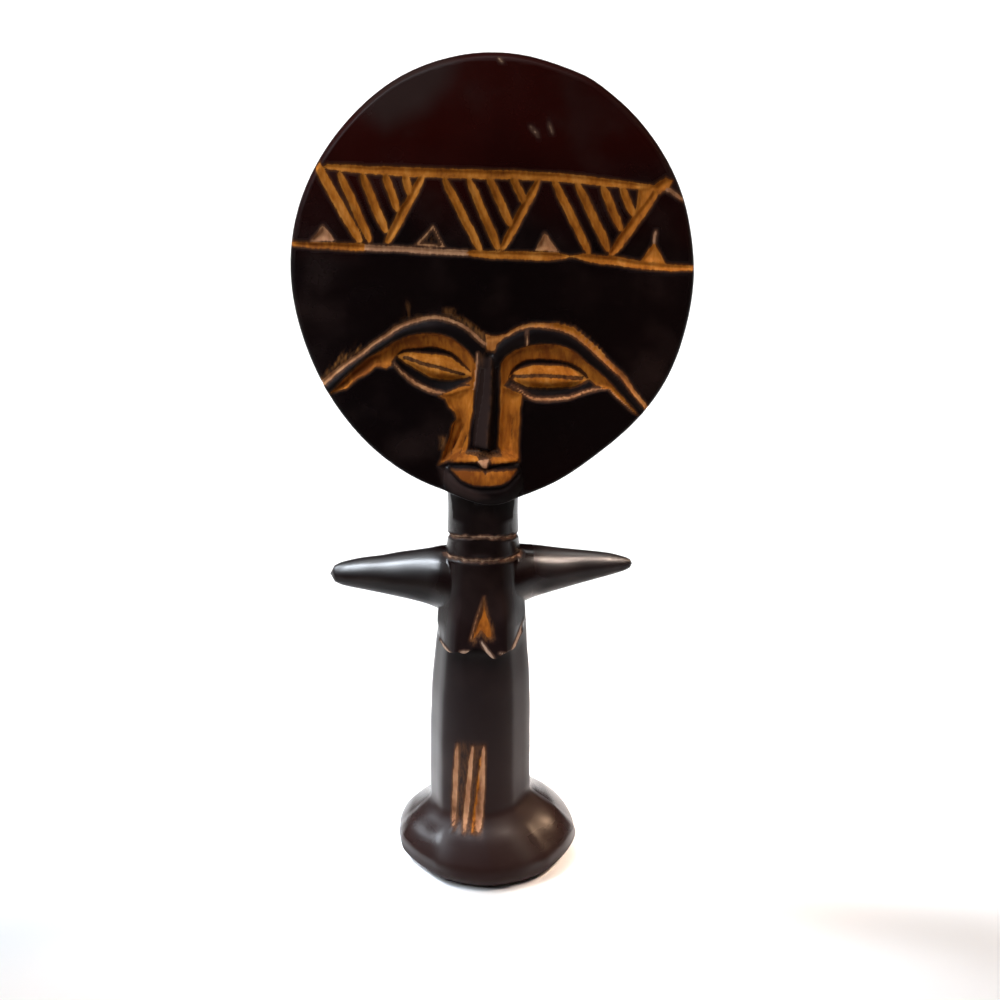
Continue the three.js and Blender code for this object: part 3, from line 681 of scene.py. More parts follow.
# %% The chest, the neck's rings and the cuts in the column
CHEST_TOP = 114.5
CHEST_RISE = 3.3
SIDE_TURN = math.radians(56)
LEDGE_ACROSS = [-16, -10.5, -8.4, -6.5, -4.1, -1.4, 2.3, 5, 8.2, 9.8, 12, 14.7, 16]
LEDGE_SHIFT = [0, -0.6, 0.8, 0.2, 2, 1.6, -1.9, 0.4, 0, 0.9, 3.4, 8.4, 10]
BODY_CUTS = [
    {"line": [(-10.6, 54.4), (-11.4, 40), (-12.2, 21)], "width": [1.5, 2, 1.9]},
    {"line": [(-5, 54.4), (-6.5, 38), (-8.1, 20.3)], "width": [1.5, 2, 2.1]},
    {"line": [(-1, 54.4), (-1.7, 38), (-3, 21.2)], "width": [1.6, 2.4, 3.1]},
]
VALLEY = [(-0.6, 113), (-1.8, 107), (-3.5, 103), (-5.3, 97.8), (-4.3, 96.8), (-1.8, 100.6), (0.4, 98),
          (2.6, 98.2), (2.3, 102.6), (0.7, 107)]
NECK_RINGS = [{"front": 126.3, "drop": 2}, {"front": 135.2, "drop": 3.4}]


def ring_height(ring, turn):
    """Height of a ring's line at each turn: it dips towards the sides, and wavers as it was cut by eye."""
    return ring["front"] - ring["drop"] * np.sin(turn) ** 2 + 0.3 * unevenness(2.2, 12, turn)


def body_cuts(x, z):
    """How far inside the three cuts each place lies."""
    waver, _ = hand_drawn(x, z, 11)
    x = (x + waver) / 2
    return np.maximum.reduce([inside_cut(x, z, cut["line"], cut["width"], 0.5) for cut in BODY_CUTS])


def chest(turn, z, ledge, plain):
    """How far the chest stands out from the round column: its planes are one in front that leans out
    downwards and one on each side, and it ends in the ledge."""
    down = np.clip((CHEST_TOP - z) / (CHEST_TOP - LEDGE), 0, 1.15)
    front = (plain + CHEST_RISE * down) / np.maximum(np.cos(turn), 0.25)
    side = (plain + 2.1 * down) / np.maximum(np.cos(np.abs(turn) - SIDE_TURN), 0.25)
    outside = plain / np.maximum(np.abs(np.sin(turn)), 0.25)
    planes = np.minimum(np.minimum(front, side), outside)
    strength = ramp(z, 115, 103) * ramp(z, ledge - 0.25, ledge + 0.25) * ramp(np.cos(turn), -0.05, 0.15)
    return strength * (planes - plain)


print("chest:", round(CHEST_TOP - LEDGE, 1), "mm high, under", len(NECK_RINGS), "rings of the neck")


# %% The trunk's rings
def trunk_rings():
    """Rings up the trunk: the outline's radius, then foot planes, chest, neck rings and cuts as functions of
    turn and height."""
    radius, height = trunk_outline()
    stops = [-np.pi, -1.6, -1.15, 1.15, 1.6, np.pi]
    turn = stations(stops, [0.12, 0.07, 0.035, 0.035, 0.07, 0.12])[:-1]
    radius, height, turn = np.broadcast_arrays(radius[:, None], height[:, None], turn)
    front = ramp(np.cos(turn), -0.1, 0.3)
    on_foot = ramp(height, 0, 3) * ramp(height, 23, 17)
    radius = radius * (1 + 0.3 * on_foot * (foot_planes(turn) - 1))
    radius = radius - on_foot * (0.8 + 0.7 * ramp(height, 8, 14)) * hill(np.abs(turn), 0.8, 0.3)
    on_column = ramp(height, 21, 29) * ramp(height, 101, 95)
    radius = radius * (1 + on_column * (column_planes(turn) - 1))
    x = trunk_middle(height) + radius * np.sin(turn)
    ledge = LEDGE + front * smooth_through(x, LEDGE_ACROSS, LEDGE_SHIFT)
    height = height + (ledge - LEDGE) * hill(height, LEDGE, 6) * (height > 60)
    radius = radius + chest(turn, height, ledge, radius)
    in_valley = inside_area(x, height, VALLEY) * (front > 0.5)
    radius = radius - 1.2 * ramp(in_valley, -1.2, 1.8)
    for ring in NECK_RINGS:
        radius = radius - 0.9 * hill(height, ring_height(ring, turn), 0.7)
    neck = ramp(height, 127, 129.5) * ramp(height, 150, 146)
    flat = 12 / np.maximum(np.cos(turn), 0.2)
    radius = radius + neck * (np.minimum(radius, flat) - radius)
    radius = radius - front * CUT_SLOPE * np.clip(body_cuts(x, height), 0, 1.2)
    worn = unevenness(20, 13, x, radius * np.cos(turn), height)
    radius = radius + (0.12 + 0.12 * on_foot) * worn * (height > 0)
    x = trunk_middle(height) + radius * np.sin(turn)
    lean = 0.01 * ramp(height, 0.5, 6) + 0.08 * ramp(height, 9, FOOT_TOP) * ramp(height, 45, 22)
    height = height + lean * x
    return np.stack([x, -radius * np.cos(turn), height], -1)


trunk = closed_skin("trunk", trunk_rings(), (0, 0, 0), (-1.2, 0, TRUNK_TOP))

# %% [markdown]
# ## The arms
#
# The arms are blunt cones that point straight out, the left-hand one rounder at its tip. Each is a profile
# carried along a nearly level path. Its first part lies inside the body and flares, so that it leaves the
# body in a soft hollow, as a knife makes it.

# %% Both arms
ARMS = {
    "arm_left": {
        "side": -1,
        "out": [5, 10, 13.5, 16.5, 20.8, 26.6, 32.3, 38.1, 43.9, 49, 52.6, 54.6],
        "middle": [112.9, 113.2, 113.6, 114, 114.5, 114.8, 115.1, 115.3, 115.5, 115.5, 115.5, 115.5],
        "half": [11.6, 12.4, 12.2, 11.8, 10.5, 9.1, 8.1, 7, 6, 5, 4, 3],
        "tip": 56.2,
    },
    "arm_right": {
        "side": 1,
        "out": [5, 9, 13.5, 16.5, 22.2, 28, 33.7, 39.5, 45.2, 48, 50.4, 51.8],
        "middle": [114.3, 115.1, 115.9, 116.5, 117.1, 117.7, 118.3, 118.8, 119.2, 119.3, 119.4, 119.5],
        "half": [11.4, 11.4, 10.7, 9.9, 8.6, 7.4, 6.2, 5.1, 3.9, 3.1, 2.3, 1.5],
        "tip": 52.5,
    },
}
ARM_DEPTH = 0.86
ARM_POINTS = 44


def arm_rings(side, out, middle, half, tip):
    """Ellipses along the arm, a little less deep than high, whose middle and size follow smooth curves."""
    far = stations([out[0], 18, out[-1]], [1.6, 0.9, 0.6])[:, None]
    turn = np.linspace(0, 2 * np.pi, ARM_POINTS + 1)[:-1] * side
    size = smooth_through(far, out, half)
    x = side * far
    y = -ARM_DEPTH * size * np.cos(turn)
    z = smooth_through(far, out, middle) - size * np.sin(turn)
    worn = 0.012 * size * unevenness(16, 21, x, y, z)
    return np.stack([x + 0 * y, y * (1 + worn / size * 2), z + worn], -1)


arms = []
for name, arm in ARMS.items():
    root = (arm["side"] * arm["out"][0], 0, arm["middle"][0])
    tip = (arm["side"] * arm["tip"], 0, arm["middle"][-1])
    arms.append(closed_skin(name, arm_rings(**arm), root, tip))

# %% [markdown]
# ## One piece of wood
#
# The doll has no joints, so the four skins become one. A union by Blender's Boolean modifier cuts away what
# lies inside. Its manifold method needs closed skins, which these are, and takes under a second.

# %% Join the skins
figure = trunk
figure.name = "wooden_figure"
for other in [head, *arms]:
    union = figure.modifiers.new("join", "BOOLEAN")
    union.operation = "UNION"
    union.solver = "MANIFOLD"
    union.object = other
whole = figure.evaluated_get(bpy.context.evaluated_depsgraph_get())
joined = bpy.data.meshes.new_from_object(whole)
figure.modifiers.clear()
figure.data = joined
joined.materials.clear()
for other in [head, *arms]:
    bpy.data.objects.remove(other)
places = np.empty(3 * len(joined.vertices))
joined.vertices.foreach_get("co", places)
places = places.reshape(-1, 3)
triangles = sum(len(polygon.vertices) - 2 for polygon in joined.polygons)
print("joined:", len(joined.vertices), "points,", triangles, "triangles")

# %% [markdown]
# ## Where the wood is bare
#
# The colour follows the carving, so the same distances are worked out once more, now for the joined mesh,
# and kept on its points as attributes. They could be painted by hand, but then colour and cut would part at
# the edges. "bare" is how far inside scraped wood a point lies, in millimetres. "pale" is 1 where that wood
# has worn from orange to a greyish tan, as on arrises and in shallow lines; on the lower arrises of the chest
# this pale wood is also a painted highlight. It is -1 where the orange is painted darker as shade, as on the
# lower lip, over the eyes under the brows and in the chest's valley. "rubbed" says how much of the stain is
# rubbed thin, so that brown shows through: around cuts, and where the knife slipped over a brow.
# "painted_highlight" is a painted highlight, a soft greyish brown in the stain where light is reflected: on a
# facet at the head's upper left, on the left of the nose and on the chin.

# %% Lips, chin and torn borders
LOWER_LIP = [(-11.6, 10.6), (-6.8, 10.9), (-1, 10.6), (-0.3, 9.3), (0.7, 10.5), (5.3, 10.9), (10.4, 10.6),
             (9.9, 8.8), (8.4, 7.2), (5.4, 6), (1.3, 5.4), (-4.1, 5.8), (-8.2, 7.6)]
UPPER_LIP = [
    [(-12.6, 13.5), (-10, 15.5), (-6.8, 16.3), (-2.7, 16), (-2, 14.2), (-6.8, 13.5)],
    [(1.1, 15), (2.5, 15.5), (10.6, 15.5), (11.7, 13.1), (2.2, 13.1)],
]
LIP_PEAK = [(-3.1, 14.5), (1.3, 14.7), (0.4, 11.4), (-1, 11.8)]
CHIN = [(-16.3, 11), (-15, 6.1), (-11.4, 2.7), (-3.4, 0.2), (1, 1), (-3.2, 3.2), (-8.1, 5.6), (-12.3, 9.9)]
NOSE_LIGHT = [(-2.7, 51.6), (-3.2, 46), (-3.8, 41.9), (-4.3, 38.9), (-4.8, 35.4), (-5.9, 30.4), (-6.6, 25.3)]
BROW_SCRATCH = [(14.2, 59.3), (14.2, 53.9)]
OUTSIDE = 9.0
RAGGED = [
    {"middle": 33, "half": 15, "reach": 4.2, "bare": 2.3, "strength": 1},
    {"middle": -50, "half": 11, "reach": 7, "bare": 0, "strength": 1},
    {"middle": -27, "half": 13, "reach": 3.4, "bare": 0, "strength": 0.6},
]
RUBBED = [
    ([(-27.3, 69.5), (-25.3, 69.5), (-25.3, 63.2), (-27.3, 63.2)], 0.5),
    ([(-14.6, 67.4), (-9.8, 67.4), (-9.6, 63.4), (-15, 64)], 0.55),
    ([(-12.4, 64.6), (-8.4, 64.6), (-5.5, 63), (-2.6, 60.8), (-0.1, 58.6), (-0.1, 54.9), (-4.9, 59),
      (-8.8, 61.8)], 0.8),
    ([(-7.2, 17.8), (4.6, 17.8), (6.4, 14.2), (-8, 15)], 0.5),
    ([(-16.4, 22.4), (-13.4, 22.6), (-13.2, 17.6), (-16.2, 17.2)], 0.6),
    (FAINT_CHIP, 0.35),
    ([(-3, 52), (0, 52), (-0.5, 46), (-3.2, 46)], 0.35),
]

# Painted highlights: soft grey-brown patches that stand in for light reflected from a facet at the head's
# upper left, from the left side of the nose and from the chin.
PAINTED_HIGHLIGHTS = [
    {"area": [(-42, 134), (-30, 146), (-14, 151), (-9, 149), (-13, 141), (-20, 133), (-33, 127)], "edge": 5},
    {"area": [(-4.3, 19), (0.6, 19), (1.6, 30), (1.9, 50), (-2.6, 50), (-3.4, 38)], "edge": 0.8},
    {"area": CHIN, "edge": 1.5},
]
print("torn borders:", len(RAGGED), "rubbed patches:", len(RUBBED), "hazy patches:", len(PAINTED_HIGHLIGHTS))


# %% Torn borders over the brows
def over_brows(across, up):
    """How far above the two brow lines each place lies, negative under them."""
    brow = np.concatenate([groove["line"] for groove in BROW_LINES])
    return up - np.interp(across, brow[:, 0], brow[:, 1])


def ragged_edge(across, up, middle, half, reach):
    """How far inside a ragged border over a brow line each place lies: its reach is a bell along the brow,
    torn by fine scratches that run up and outwards."""
    over = over_brows(across, up)
    scratch = unevenness(1.3, 41, across - 0.5 * up, 0.12 * up)
    edge = reach * np.exp(-np.abs((across - middle) / half) ** 3) * (0.8 + 0.2 * scratch)
    return np.where(over > -0.5, edge - over, -OUTSIDE)


above = over_brows(np.array([33.0]), np.array([60.0]))
print("a place right of the nose, 60 mm up, is", round(float(above[0]), 1), "mm above the brow line")


# %% Bare and rubbed places of the face
def face_marks(across, up):
    """The bare places of the face, as how far inside each of them a place lies and how pale its wood is.
    Dark brow ridges, lid lines and the nose are left out of them."""
    across, up = hand_drawn(across, up, 51)
    scraped = np.maximum.reduce([inside_area(across, up, area) for area in SOCKETS + CHEEKS])
    for gouge in GOUGES:
        distance, _ = near_line(across, up, gouge)
        scraped = np.minimum(scraped, distance - 0.05)
    marks = []
    for eye in EYES:
        scraped = np.minimum(scraped, -inside_area(across, up, eye["lens"]))
        slit, _ = near_line(across, up, eye["slit"])
        marks.append((np.minimum(inside_area(across, up, eye["ball"]) + 0.1, slit - 0.55), 0))
    for brow in BROWS:
        scraped = np.minimum(scraped, -inside_area(across, up, brow))
    left = smooth_through(up, NOSE_UP, NOSE_LEFT)
    right = smooth_through(up, NOSE_UP, NOSE_RIGHT)
    off_nose = np.maximum(np.maximum(left - across, across - right), np.maximum(NOSE_UP[0] - up, up - 53))
    # Sockets and cheek strips: the orange is painted darker as shade, most just under the brows.
    marks.append((np.minimum(scraped, off_nose), -0.4 - 0.5 * ramp(up, 37, 42)))
    marks.append((inside_cut(across, up, BROW_LINES[0]["line"], BROW_LINES[0]["width"], 0.9), 0.4))
    marks.append((inside_cut(across, up, BROW_LINES[1]["line"], BROW_LINES[1]["width"], 0.9), 0.15))
    marks += [(inside_cut(across, up, ring["line"], ring["width"]) - 0.2, 0.35) for ring in RING_LINES]
    # The upper lip's orange is painted a little darker, as shade.
    marks += [(inside_area(across, up, area) - 0.1, -0.3) for area in UPPER_LIP]
    marks += [
        (inside_area(across, up, BETWEEN_BROWS), 0.1),
        *[(ragged_edge(across, up, torn["middle"], torn["half"], torn["bare"]) - 0.3, 0) for torn in RAGGED],
        # The lower lip's orange is painted darker, as shade.
        (inside_area(across, up, LOWER_LIP), -0.9),
        (inside_area(across, up, LIP_PEAK), 0.5),
        (inside_cut(across, up, NOSE_LIGHT, [0.9, 1.2, 1]), 0.5),
        (inside_cut(across, up, BROW_SCRATCH, 0.45), 0.5),
    ]
    return marks


def face_rubbing(across, up):
    """How much stain is rubbed off the face outside its cuts, from 0 to 1: in areas with soft edges, along
    the ridge of the nose and the slits of the eyes, and in the torn borders."""
    areas = [strength * ramp(inside_area(across, up, area), -0.8, 1.2) for area, strength in RUBBED]
    ridge = hill(across, smooth_through(up, NOSE_UP, NOSE_RIDGE), 0.8) * ramp(up, 18, 21) * ramp(up, 53, 48)
    for eye in EYES:
        slit, _ = near_line(across, up, eye["slit"])
        areas.append(0.5 * ramp(slit, 1, 0.4))
    for torn in RAGGED:
        inside = ragged_edge(across, up, torn["middle"], torn["half"], torn["reach"])
        areas.append(torn["strength"] * ramp(inside, -0.3, torn["reach"] * 0.8))
    return np.maximum.reduce([*areas, 0.3 * ridge])


lip_inside, lip_pale = strongest(face_marks(np.array([3.0]), np.array([8.0])))
print("lower lip: bare,", round(float(lip_inside[0]), 1), "mm from its edge, paleness", float(lip_pale[0]))

# %% Marks on the body
# Pale tan lines on the chest's lower arrises: worn wood, and a painted highlight where light catches these
# edges.
CHEST_ARRISES_WORN_AND_LIT = [
    {"line": [(-16.2, 93.2), (-13.2, 92), (-10.6, 91.9)], "width": 1.2, "pale": 1},
    {"line": [(-8.8, 93.8), (-7.4, 93.4), (-6, 93.6)], "width": 1.9, "pale": 1},
    {"line": [(-1.6, 97.6), (0.4, 94.2), (2.5, 91.4)], "width": [0.8, 1.6], "pale": 1},
    {"line": [(5, 93.4), (8.2, 93)], "width": 0.8, "pale": 1},
    {"line": [(9.6, 93.2), (12, 96.5), (14.8, 102)], "width": [1.6, 1.3], "pale": 1},
    {"line": [(-0.6, 113.6), (-3.4, 105.5), (-5.4, 98.2)], "width": [0.3, 0.8], "pale": 0.4},
]
CHEST_FRONT = -9
ORANGE_STRIP = [(-2.2, 50), (-3.2, 36), (-5.2, 20.6)]
RING_HALF_WIDTH = 0.45
NECK_OUTSIDE = 14.3


def body_marks(x, y, z):
    """The bare places of body and neck, as how far inside each of them a place lies and how pale its wood
    is: the valley, its orange painted darker as shade, the three cuts with an orange strip beside the last,
    the arrises of the chest, whose pale tan is wear and a painted highlight, and the neck's two rings."""
    turn = np.arctan2(x - trunk_middle(z), -y)
    marks = [
        # The valley between the breasts: its orange is painted darker, as shade.
        (inside_area(x, z, VALLEY) - 0.6, -0.8),
        (body_cuts(x, z), 0.5),
        (inside_cut(x, z, ORANGE_STRIP, [0.6, 1.3]), 0),
    ]
    for edge in CHEST_ARRISES_WORN_AND_LIT:
        inside = inside_cut(x, z, edge["line"], edge["width"]) - 0.05
        marks.append((np.minimum(inside, CHEST_FRONT - y), edge["pale"]))
    on_neck = NECK_OUTSIDE - np.hypot(x - trunk_middle(z), y)
    for ring in NECK_RINGS:
        half = RING_HALF_WIDTH + 0.18 * unevenness(3, 61, x, z)
        inside = half - np.abs(z - 0.35 - ring_height(ring, turn))
        marks.append((np.minimum(inside, on_neck), 0.8))
    return marks


def body_rubbing(x, z):
    """How much stain is rubbed off the body: between the three cuts, and round the valley."""
    left = np.interp(z, [20, 56], [-12.4, -10.6])
    right = np.interp(z, [20, 56], [-1, 0.3])
    panel = ramp(np.minimum(x - left, right - x), -0.8, 0.4) * ramp(z, 18, 21) * ramp(z, 58, 54)
    return np.maximum(0.4 * panel, 0.55 * ramp(inside_area(x, z, VALLEY), -1.6, 0.2))


print("marks on the body:", len(BODY_CUTS), "cuts and", len(CHEST_ARRISES_WORN_AND_LIT), "worn arrises")


# %% Colour attributes on the joined mesh
FRONT_HALF = -6.5
RIM_DEPTH = -3.5


def onto_head(x, y, z):
    """Places in the figure's frame as places in the head's own: across, up and out of its front."""
    up = (y + FACE_DEPTH) * math.sin(LEAN) + (z - CHIN_HEIGHT) * math.cos(LEAN)
    out = -(y + FACE_DEPTH) * math.cos(LEAN) + (z - CHIN_HEIGHT) * math.sin(LEAN)
    return x, up, out


def keep(name, values):
    """One number for each point of the mesh, under a name that the material reads."""
    attribute = figure.data.attributes.new(name, "FLOAT", "POINT")
    attribute.data.foreach_set("value", values.astype(np.float32))


x, y, z = places.T
across, up, out = onto_head(x, y, z)
on_face = (out > FRONT_HALF) & (z > CHIN_HEIGHT - 10)
on_body = (y < -2) & (z > 17) & (z < CHIN_HEIGHT - 10)
face_across = across[on_face]
face_up = up[on_face]
bare = np.full(x.shape, -OUTSIDE)
pale = np.zeros(x.shape)
rubbed = np.zeros(x.shape)
painted_highlight = np.zeros(x.shape)
marks = band_marks(face_across, face_up) + face_marks(face_across, face_up)
bare[on_face], pale[on_face] = strongest(marks)
at_rim = inset(face_across, face_up) < EDGE
bare[on_face] = np.minimum(bare[on_face], np.where(at_rim, out[on_face] - RIM_DEPTH, OUTSIDE))
rubbed[on_face] = face_rubbing(face_across, face_up)
# Painted highlights on the face, kept as an attribute.
for highlight_patch in PAINTED_HIGHLIGHTS:
    inside = inside_area(face_across, face_up, highlight_patch["area"])
    painted_highlight[on_face] = np.maximum(painted_highlight[on_face], ramp(inside, -highlight_patch["edge"], highlight_patch["edge"]))
bare[on_body], pale[on_body] = strongest(body_marks(x[on_body], y[on_body], z[on_body]))
rubbed[on_body] = body_rubbing(x[on_body], z[on_body])
keep("bare", bare)
keep("pale", pale)
keep("rubbed", rubbed)
keep("painted_highlight", painted_highlight)
print("scraped:", round(100 * float(np.mean(bare > 0)), 1), "% of the points")

# %% [markdown]
# ## Where the stain is dull
#
# The stain was polished with a cloth, which doesn't reach everywhere. It is dull where the knife has been,
# round the head's edge, under the arms and low on the foot, where dirt sits, and duller on the front of
# chest, neck, column and foot than on their sides. Hands have brought the tops of the arms to a bright,
# broad shine. Two more attributes hold this: "sheen", how strongly the stain shines, and "roughness", how
# broadly. Noise alone could vary the gloss, but not in the places where hands and cloth have been.

# %% Dull places of chest, neck, column and foot
SHEEN = 0.42
DULL_SHEEN = 0.06
ROUGHNESS = 0.26
DULL_ROUGHNESS = 0.6
turn = np.arctan2(x - trunk_middle(z), -y)
in_front = y < 0
near_axis = ramp(np.abs(x), 16, 12) * in_front * ramp(np.cos(turn), 0.68, 0.9)
chest_and_neck = near_axis * ramp(z, 88, 94) * ramp(z, 150, 146)
towards_front = 0.25 + 0.5 * ramp(np.cos(turn - 0.2), 0.25, 0.6)
column_front = towards_front * ramp(z, 17, 24) * ramp(z, 96, 88) * in_front
foot_front = 0.95 * ramp(np.cos(turn), 0.75, 0.97) * ramp(z, 24, 17) * in_front
dirt_line = 0.95 * ramp(z, 12, 5)
dull_body = np.maximum.reduce([chest_and_neck, column_front, foot_front, dirt_line])
print("dull on body and foot:", round(100 * float(np.mean(dull_body > 0.5)), 1), "% of the points")

# %% Handled arms
over_arm = np.full(x.shape, -OUTSIDE)
for arm in ARMS.values():
    far = arm["side"] * x
    level = (z - np.interp(far, arm["out"], arm["middle"])) / np.interp(far, arm["out"], arm["half"])
    over_arm = np.where((far > 15) & (np.abs(level) < 1.1), level, over_arm)
beyond_body = ramp(np.abs(x), 15, 22)
handled = ramp(over_arm, -0.1, 0.4) * beyond_body
under_arms = 0.7 * ramp(over_arm, 0.1, -0.4) * beyond_body * (over_arm > -2)
print("handled:", round(100 * float(np.mean(handled > 0.5)), 1), "% of the points")

# %% Sheen and roughness
dull = np.maximum.reduce([ramp(bare, -1.2, -0.3), dull_body, under_arms])
carved = ramp(np.abs(face_relief(face_across, face_up)), 0.02, 0.4)
rim = 1 - ramp(inset(face_across, face_up), 0.8, 2.4)
dull[on_face] = np.maximum.reduce([dull[on_face], carved, rim])
sheen = (SHEEN + 0.5 * handled - 0.22 * on_face) * (1 - dull) + DULL_SHEEN * dull
roughness = (ROUGHNESS + 0.14 * handled) * (1 - dull) + DULL_ROUGHNESS * dull
keep("sheen", sheen)
keep("roughness", roughness)
print("sheen from", round(float(sheen.min()), 2), "to", round(float(sheen.max()), 2))

# %% Size in metres, and smooth shading
joined.vertices.foreach_set("co", (MM * places).ravel())
joined.update()
joined.shade_smooth()
print("figure:", [round(float(span), 4) for span in np.ptp(MM * places, axis=0)], "m")

# %% [markdown]
# ## Stained and scraped wood
#
# One material covers the figure, as one stain covers the real one. The dark stain is a warm brown-black that
# was brushed on and rubbed to a satin gloss. It lies thinner at the top of the head, where red wood shows
# through, and is nearly black on the face and neck. Where the knife went through it the wood is a dry, warm
# orange. A picture could be painted for it, but nodes that read the attributes stay sharp at any distance.

# %% The wood's material, and helpers for its nodes
wood = bpy.data.materials.new("stained_wood")
wood.use_nodes = True
tree = wood.node_tree
shader = tree.nodes["Principled BSDF"]


def node(kind, links=None, **settings):
    """A node with its settings, whose inputs are linked or set from a dictionary of names and values."""
    made = tree.nodes.new(kind)
    for name, value in settings.items():
        setattr(made, name, value)
    for name, value in (links or {}).items():
        if isinstance(value, bpy.types.NodeSocket):
            tree.links.new(value, made.inputs[name])
        else:
            made.inputs[name].default_value = value
    return made


def noise(scale, detail=3.0, stretch=(1, 1, 1)):
    """Noise on the wood, between 0 and 1, whose spots are one over the scale in metres and can be drawn
    out."""
    place = node("ShaderNodeMapping", {"Vector": object_place, "Scale": stretch})
    links = {"Vector": place.outputs[0], "Scale": scale, "Detail": detail}
    return node("ShaderNodeTexNoise", links).outputs["Fac"]


def kept(name):
    """An attribute of the figure's points."""
    return node("ShaderNodeAttribute", attribute_name=name).outputs["Fac"]


def between_values(value, low, high):
    """0 where a value is below low, 1 above high, and a smooth S in between."""
    links = {"Value": value, "From Min": low, "From Max": high}
    return node("ShaderNodeMapRange", links, interpolation_type="SMOOTHSTEP").outputs["Result"]


def sums(operation, *numbers):
    """One arithmetic step on two or three numbers: a product, a sum, or a product with a sum."""
    return node("ShaderNodeMath", dict(enumerate(numbers)), operation=operation).outputs[0]


def mixed(share, first, second):
    """Two colours mixed by a share: the first at 0, the second at 1."""
    made = node("ShaderNodeMix", data_type="RGBA")
    for socket, value in ((0, share), (6, first), (7, second)):
        if isinstance(value, bpy.types.NodeSocket):
            tree.links.new(value, made.inputs[socket])
        else:
            made.inputs[socket].default_value = value
    return made.outputs[2]


def colours_along(value, stops):
    """A colour ramp over a value, from stops of place and colour."""
    made = node("ShaderNodeValToRGB", {"Fac": value})
    ramp_stops = made.color_ramp.elements
    while len(ramp_stops) < len(stops):
        ramp_stops.new(0.5)
    for stop, (place, colour) in zip(ramp_stops, stops):
        stop.position = place
        stop.color = (*colour, 1)
    return made.outputs["Color"]


print("material helpers: node, noise, kept, between_values, sums, mixed, colours_along")

# %% The dark stain
object_place = node("ShaderNodeTexCoord").outputs["Object"]
height = node("ShaderNodeSeparateXYZ", {"Vector": object_place}).outputs["Z"]
cloud = noise(28, 2.0)
wavering_height = sums("MULTIPLY_ADD", cloud, 0.05, height)
stain = colours_along(sums("MULTIPLY", wavering_height, 3.0), [
    (0.06, (0.016, 0.0058, 0.0045)),
    (0.30, (0.008, 0.0035, 0.0036)),
    (0.46, (0.003, 0.0006, 0.0005)),
    (0.60, (0.0026, 0.0012, 0.0013)),
    (0.78, (0.0036, 0.0014, 0.0014)),
    (0.90, (0.020, 0.0017, 0.0009)),
])
clouds = sums("MULTIPLY", between_values(noise(45, 5.0), 0.48, 0.72), 0.3)
# The painted highlight turns the stain grey-brown where light is reflected, and the random clouds do so in
# spots.
highlight_patch = sums("MULTIPLY", kept("painted_highlight"), 0.8)
clouds_and_painted_highlight = mixed(sums("MAXIMUM", clouds, highlight_patch), stain, (0.026, 0.015, 0.013, 1))
print("dark stain:", len(tree.nodes), "nodes so far")

# %% The stain rubbed thin and frayed at the cuts
fibre = noise(900, 4.0, (1, 1, 0.25))
frayed = sums("ADD", kept("bare"), sums("MULTIPLY_ADD", fibre, 0.7, -0.35))
halo = sums("MULTIPLY", between_values(frayed, -0.9, 0.0), 0.75)
paleness = kept("pale")
# Paleness of worn wood, which includes the painted highlights on the chest's arrises.
pale_wear_and_highlight = sums("MAXIMUM", paleness, 0.0)
brown = mixed(pale_wear_and_highlight, (0.075, 0.026, 0.007, 1), (0.09, 0.05, 0.035, 1))
rubbed_share = kept("rubbed")
scratched = sums("MULTIPLY", rubbed_share, between_values(noise(1100, 4.0, (1, 1, 0.3)), 0.28, 0.68))
rubbed_brown = colours_along(rubbed_share, [(0.0, (0.05, 0.022, 0.014)), (1.0, (0.30, 0.12, 0.03))])
finish = mixed(sums("MULTIPLY", scratched, 0.85), mixed(halo, clouds_and_painted_highlight, brown), rubbed_brown)
print("rubbed stain:", len(tree.nodes), "nodes so far")

# %% The scraped wood
growth = sums("MULTIPLY_ADD", noise(150, 3.0, (1, 1, 0.6)), 0.7, sums("MULTIPLY", fibre, 0.3))
# A negative paleness darkens the orange: painted shade under the brows, on the lips and in the chest's
# valley.
painted_shade_in_orange = sums("MULTIPLY", sums("MINIMUM", paleness, 0.0), 0.17)
tone = sums("ADD", growth, painted_shade_in_orange)
orange = colours_along(tone, [
    (0.30, (0.15, 0.040, 0.005)),
    (0.50, (0.36, 0.113, 0.012)),
    (0.66, (0.52, 0.200, 0.035)),
])
tan = colours_along(tone, [
    (0.32, (0.17, 0.098, 0.062)),
    (0.66, (0.45, 0.32, 0.235)),
])
scraped = mixed(pale_wear_and_highlight, orange, tan)
is_bare = between_values(frayed, -0.1, 0.3)
tree.links.new(mixed(is_bare, finish, scraped), shader.inputs["Base Color"])
print("scraped wood:", len(tree.nodes), "nodes so far")

# %% Gloss and fine relief
DRY_ROUGHNESS = 0.68
satin = sums("MULTIPLY_ADD", sums("SUBTRACT", noise(60, 4.0), 0.5), 0.14, kept("roughness"))
gloss = node("ShaderNodeMix", {"Factor": is_bare, "A": satin, "B": DRY_ROUGHNESS}, data_type="FLOAT")
tree.links.new(gloss.outputs[0], shader.inputs["Roughness"])
tree.links.new(kept("sheen"), shader.inputs["Specular IOR Level"])
grain = sums("ADD", sums("MULTIPLY", noise(160, 4.0, (1, 1, 0.15)), 0.35), sums("MULTIPLY", fibre, is_bare))
relief = node("ShaderNodeBump", {"Height": grain, "Strength": 0.35, "Distance": 0.0004})
tree.links.new(relief.outputs[0], shader.inputs["Normal"])
figure.data.materials.append(wood)
print("material:", len(tree.nodes), "nodes")

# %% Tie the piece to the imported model
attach(figure, "root")
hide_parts("carved_figure")
print(figure.name, "rides on root and stands for carved_figure")

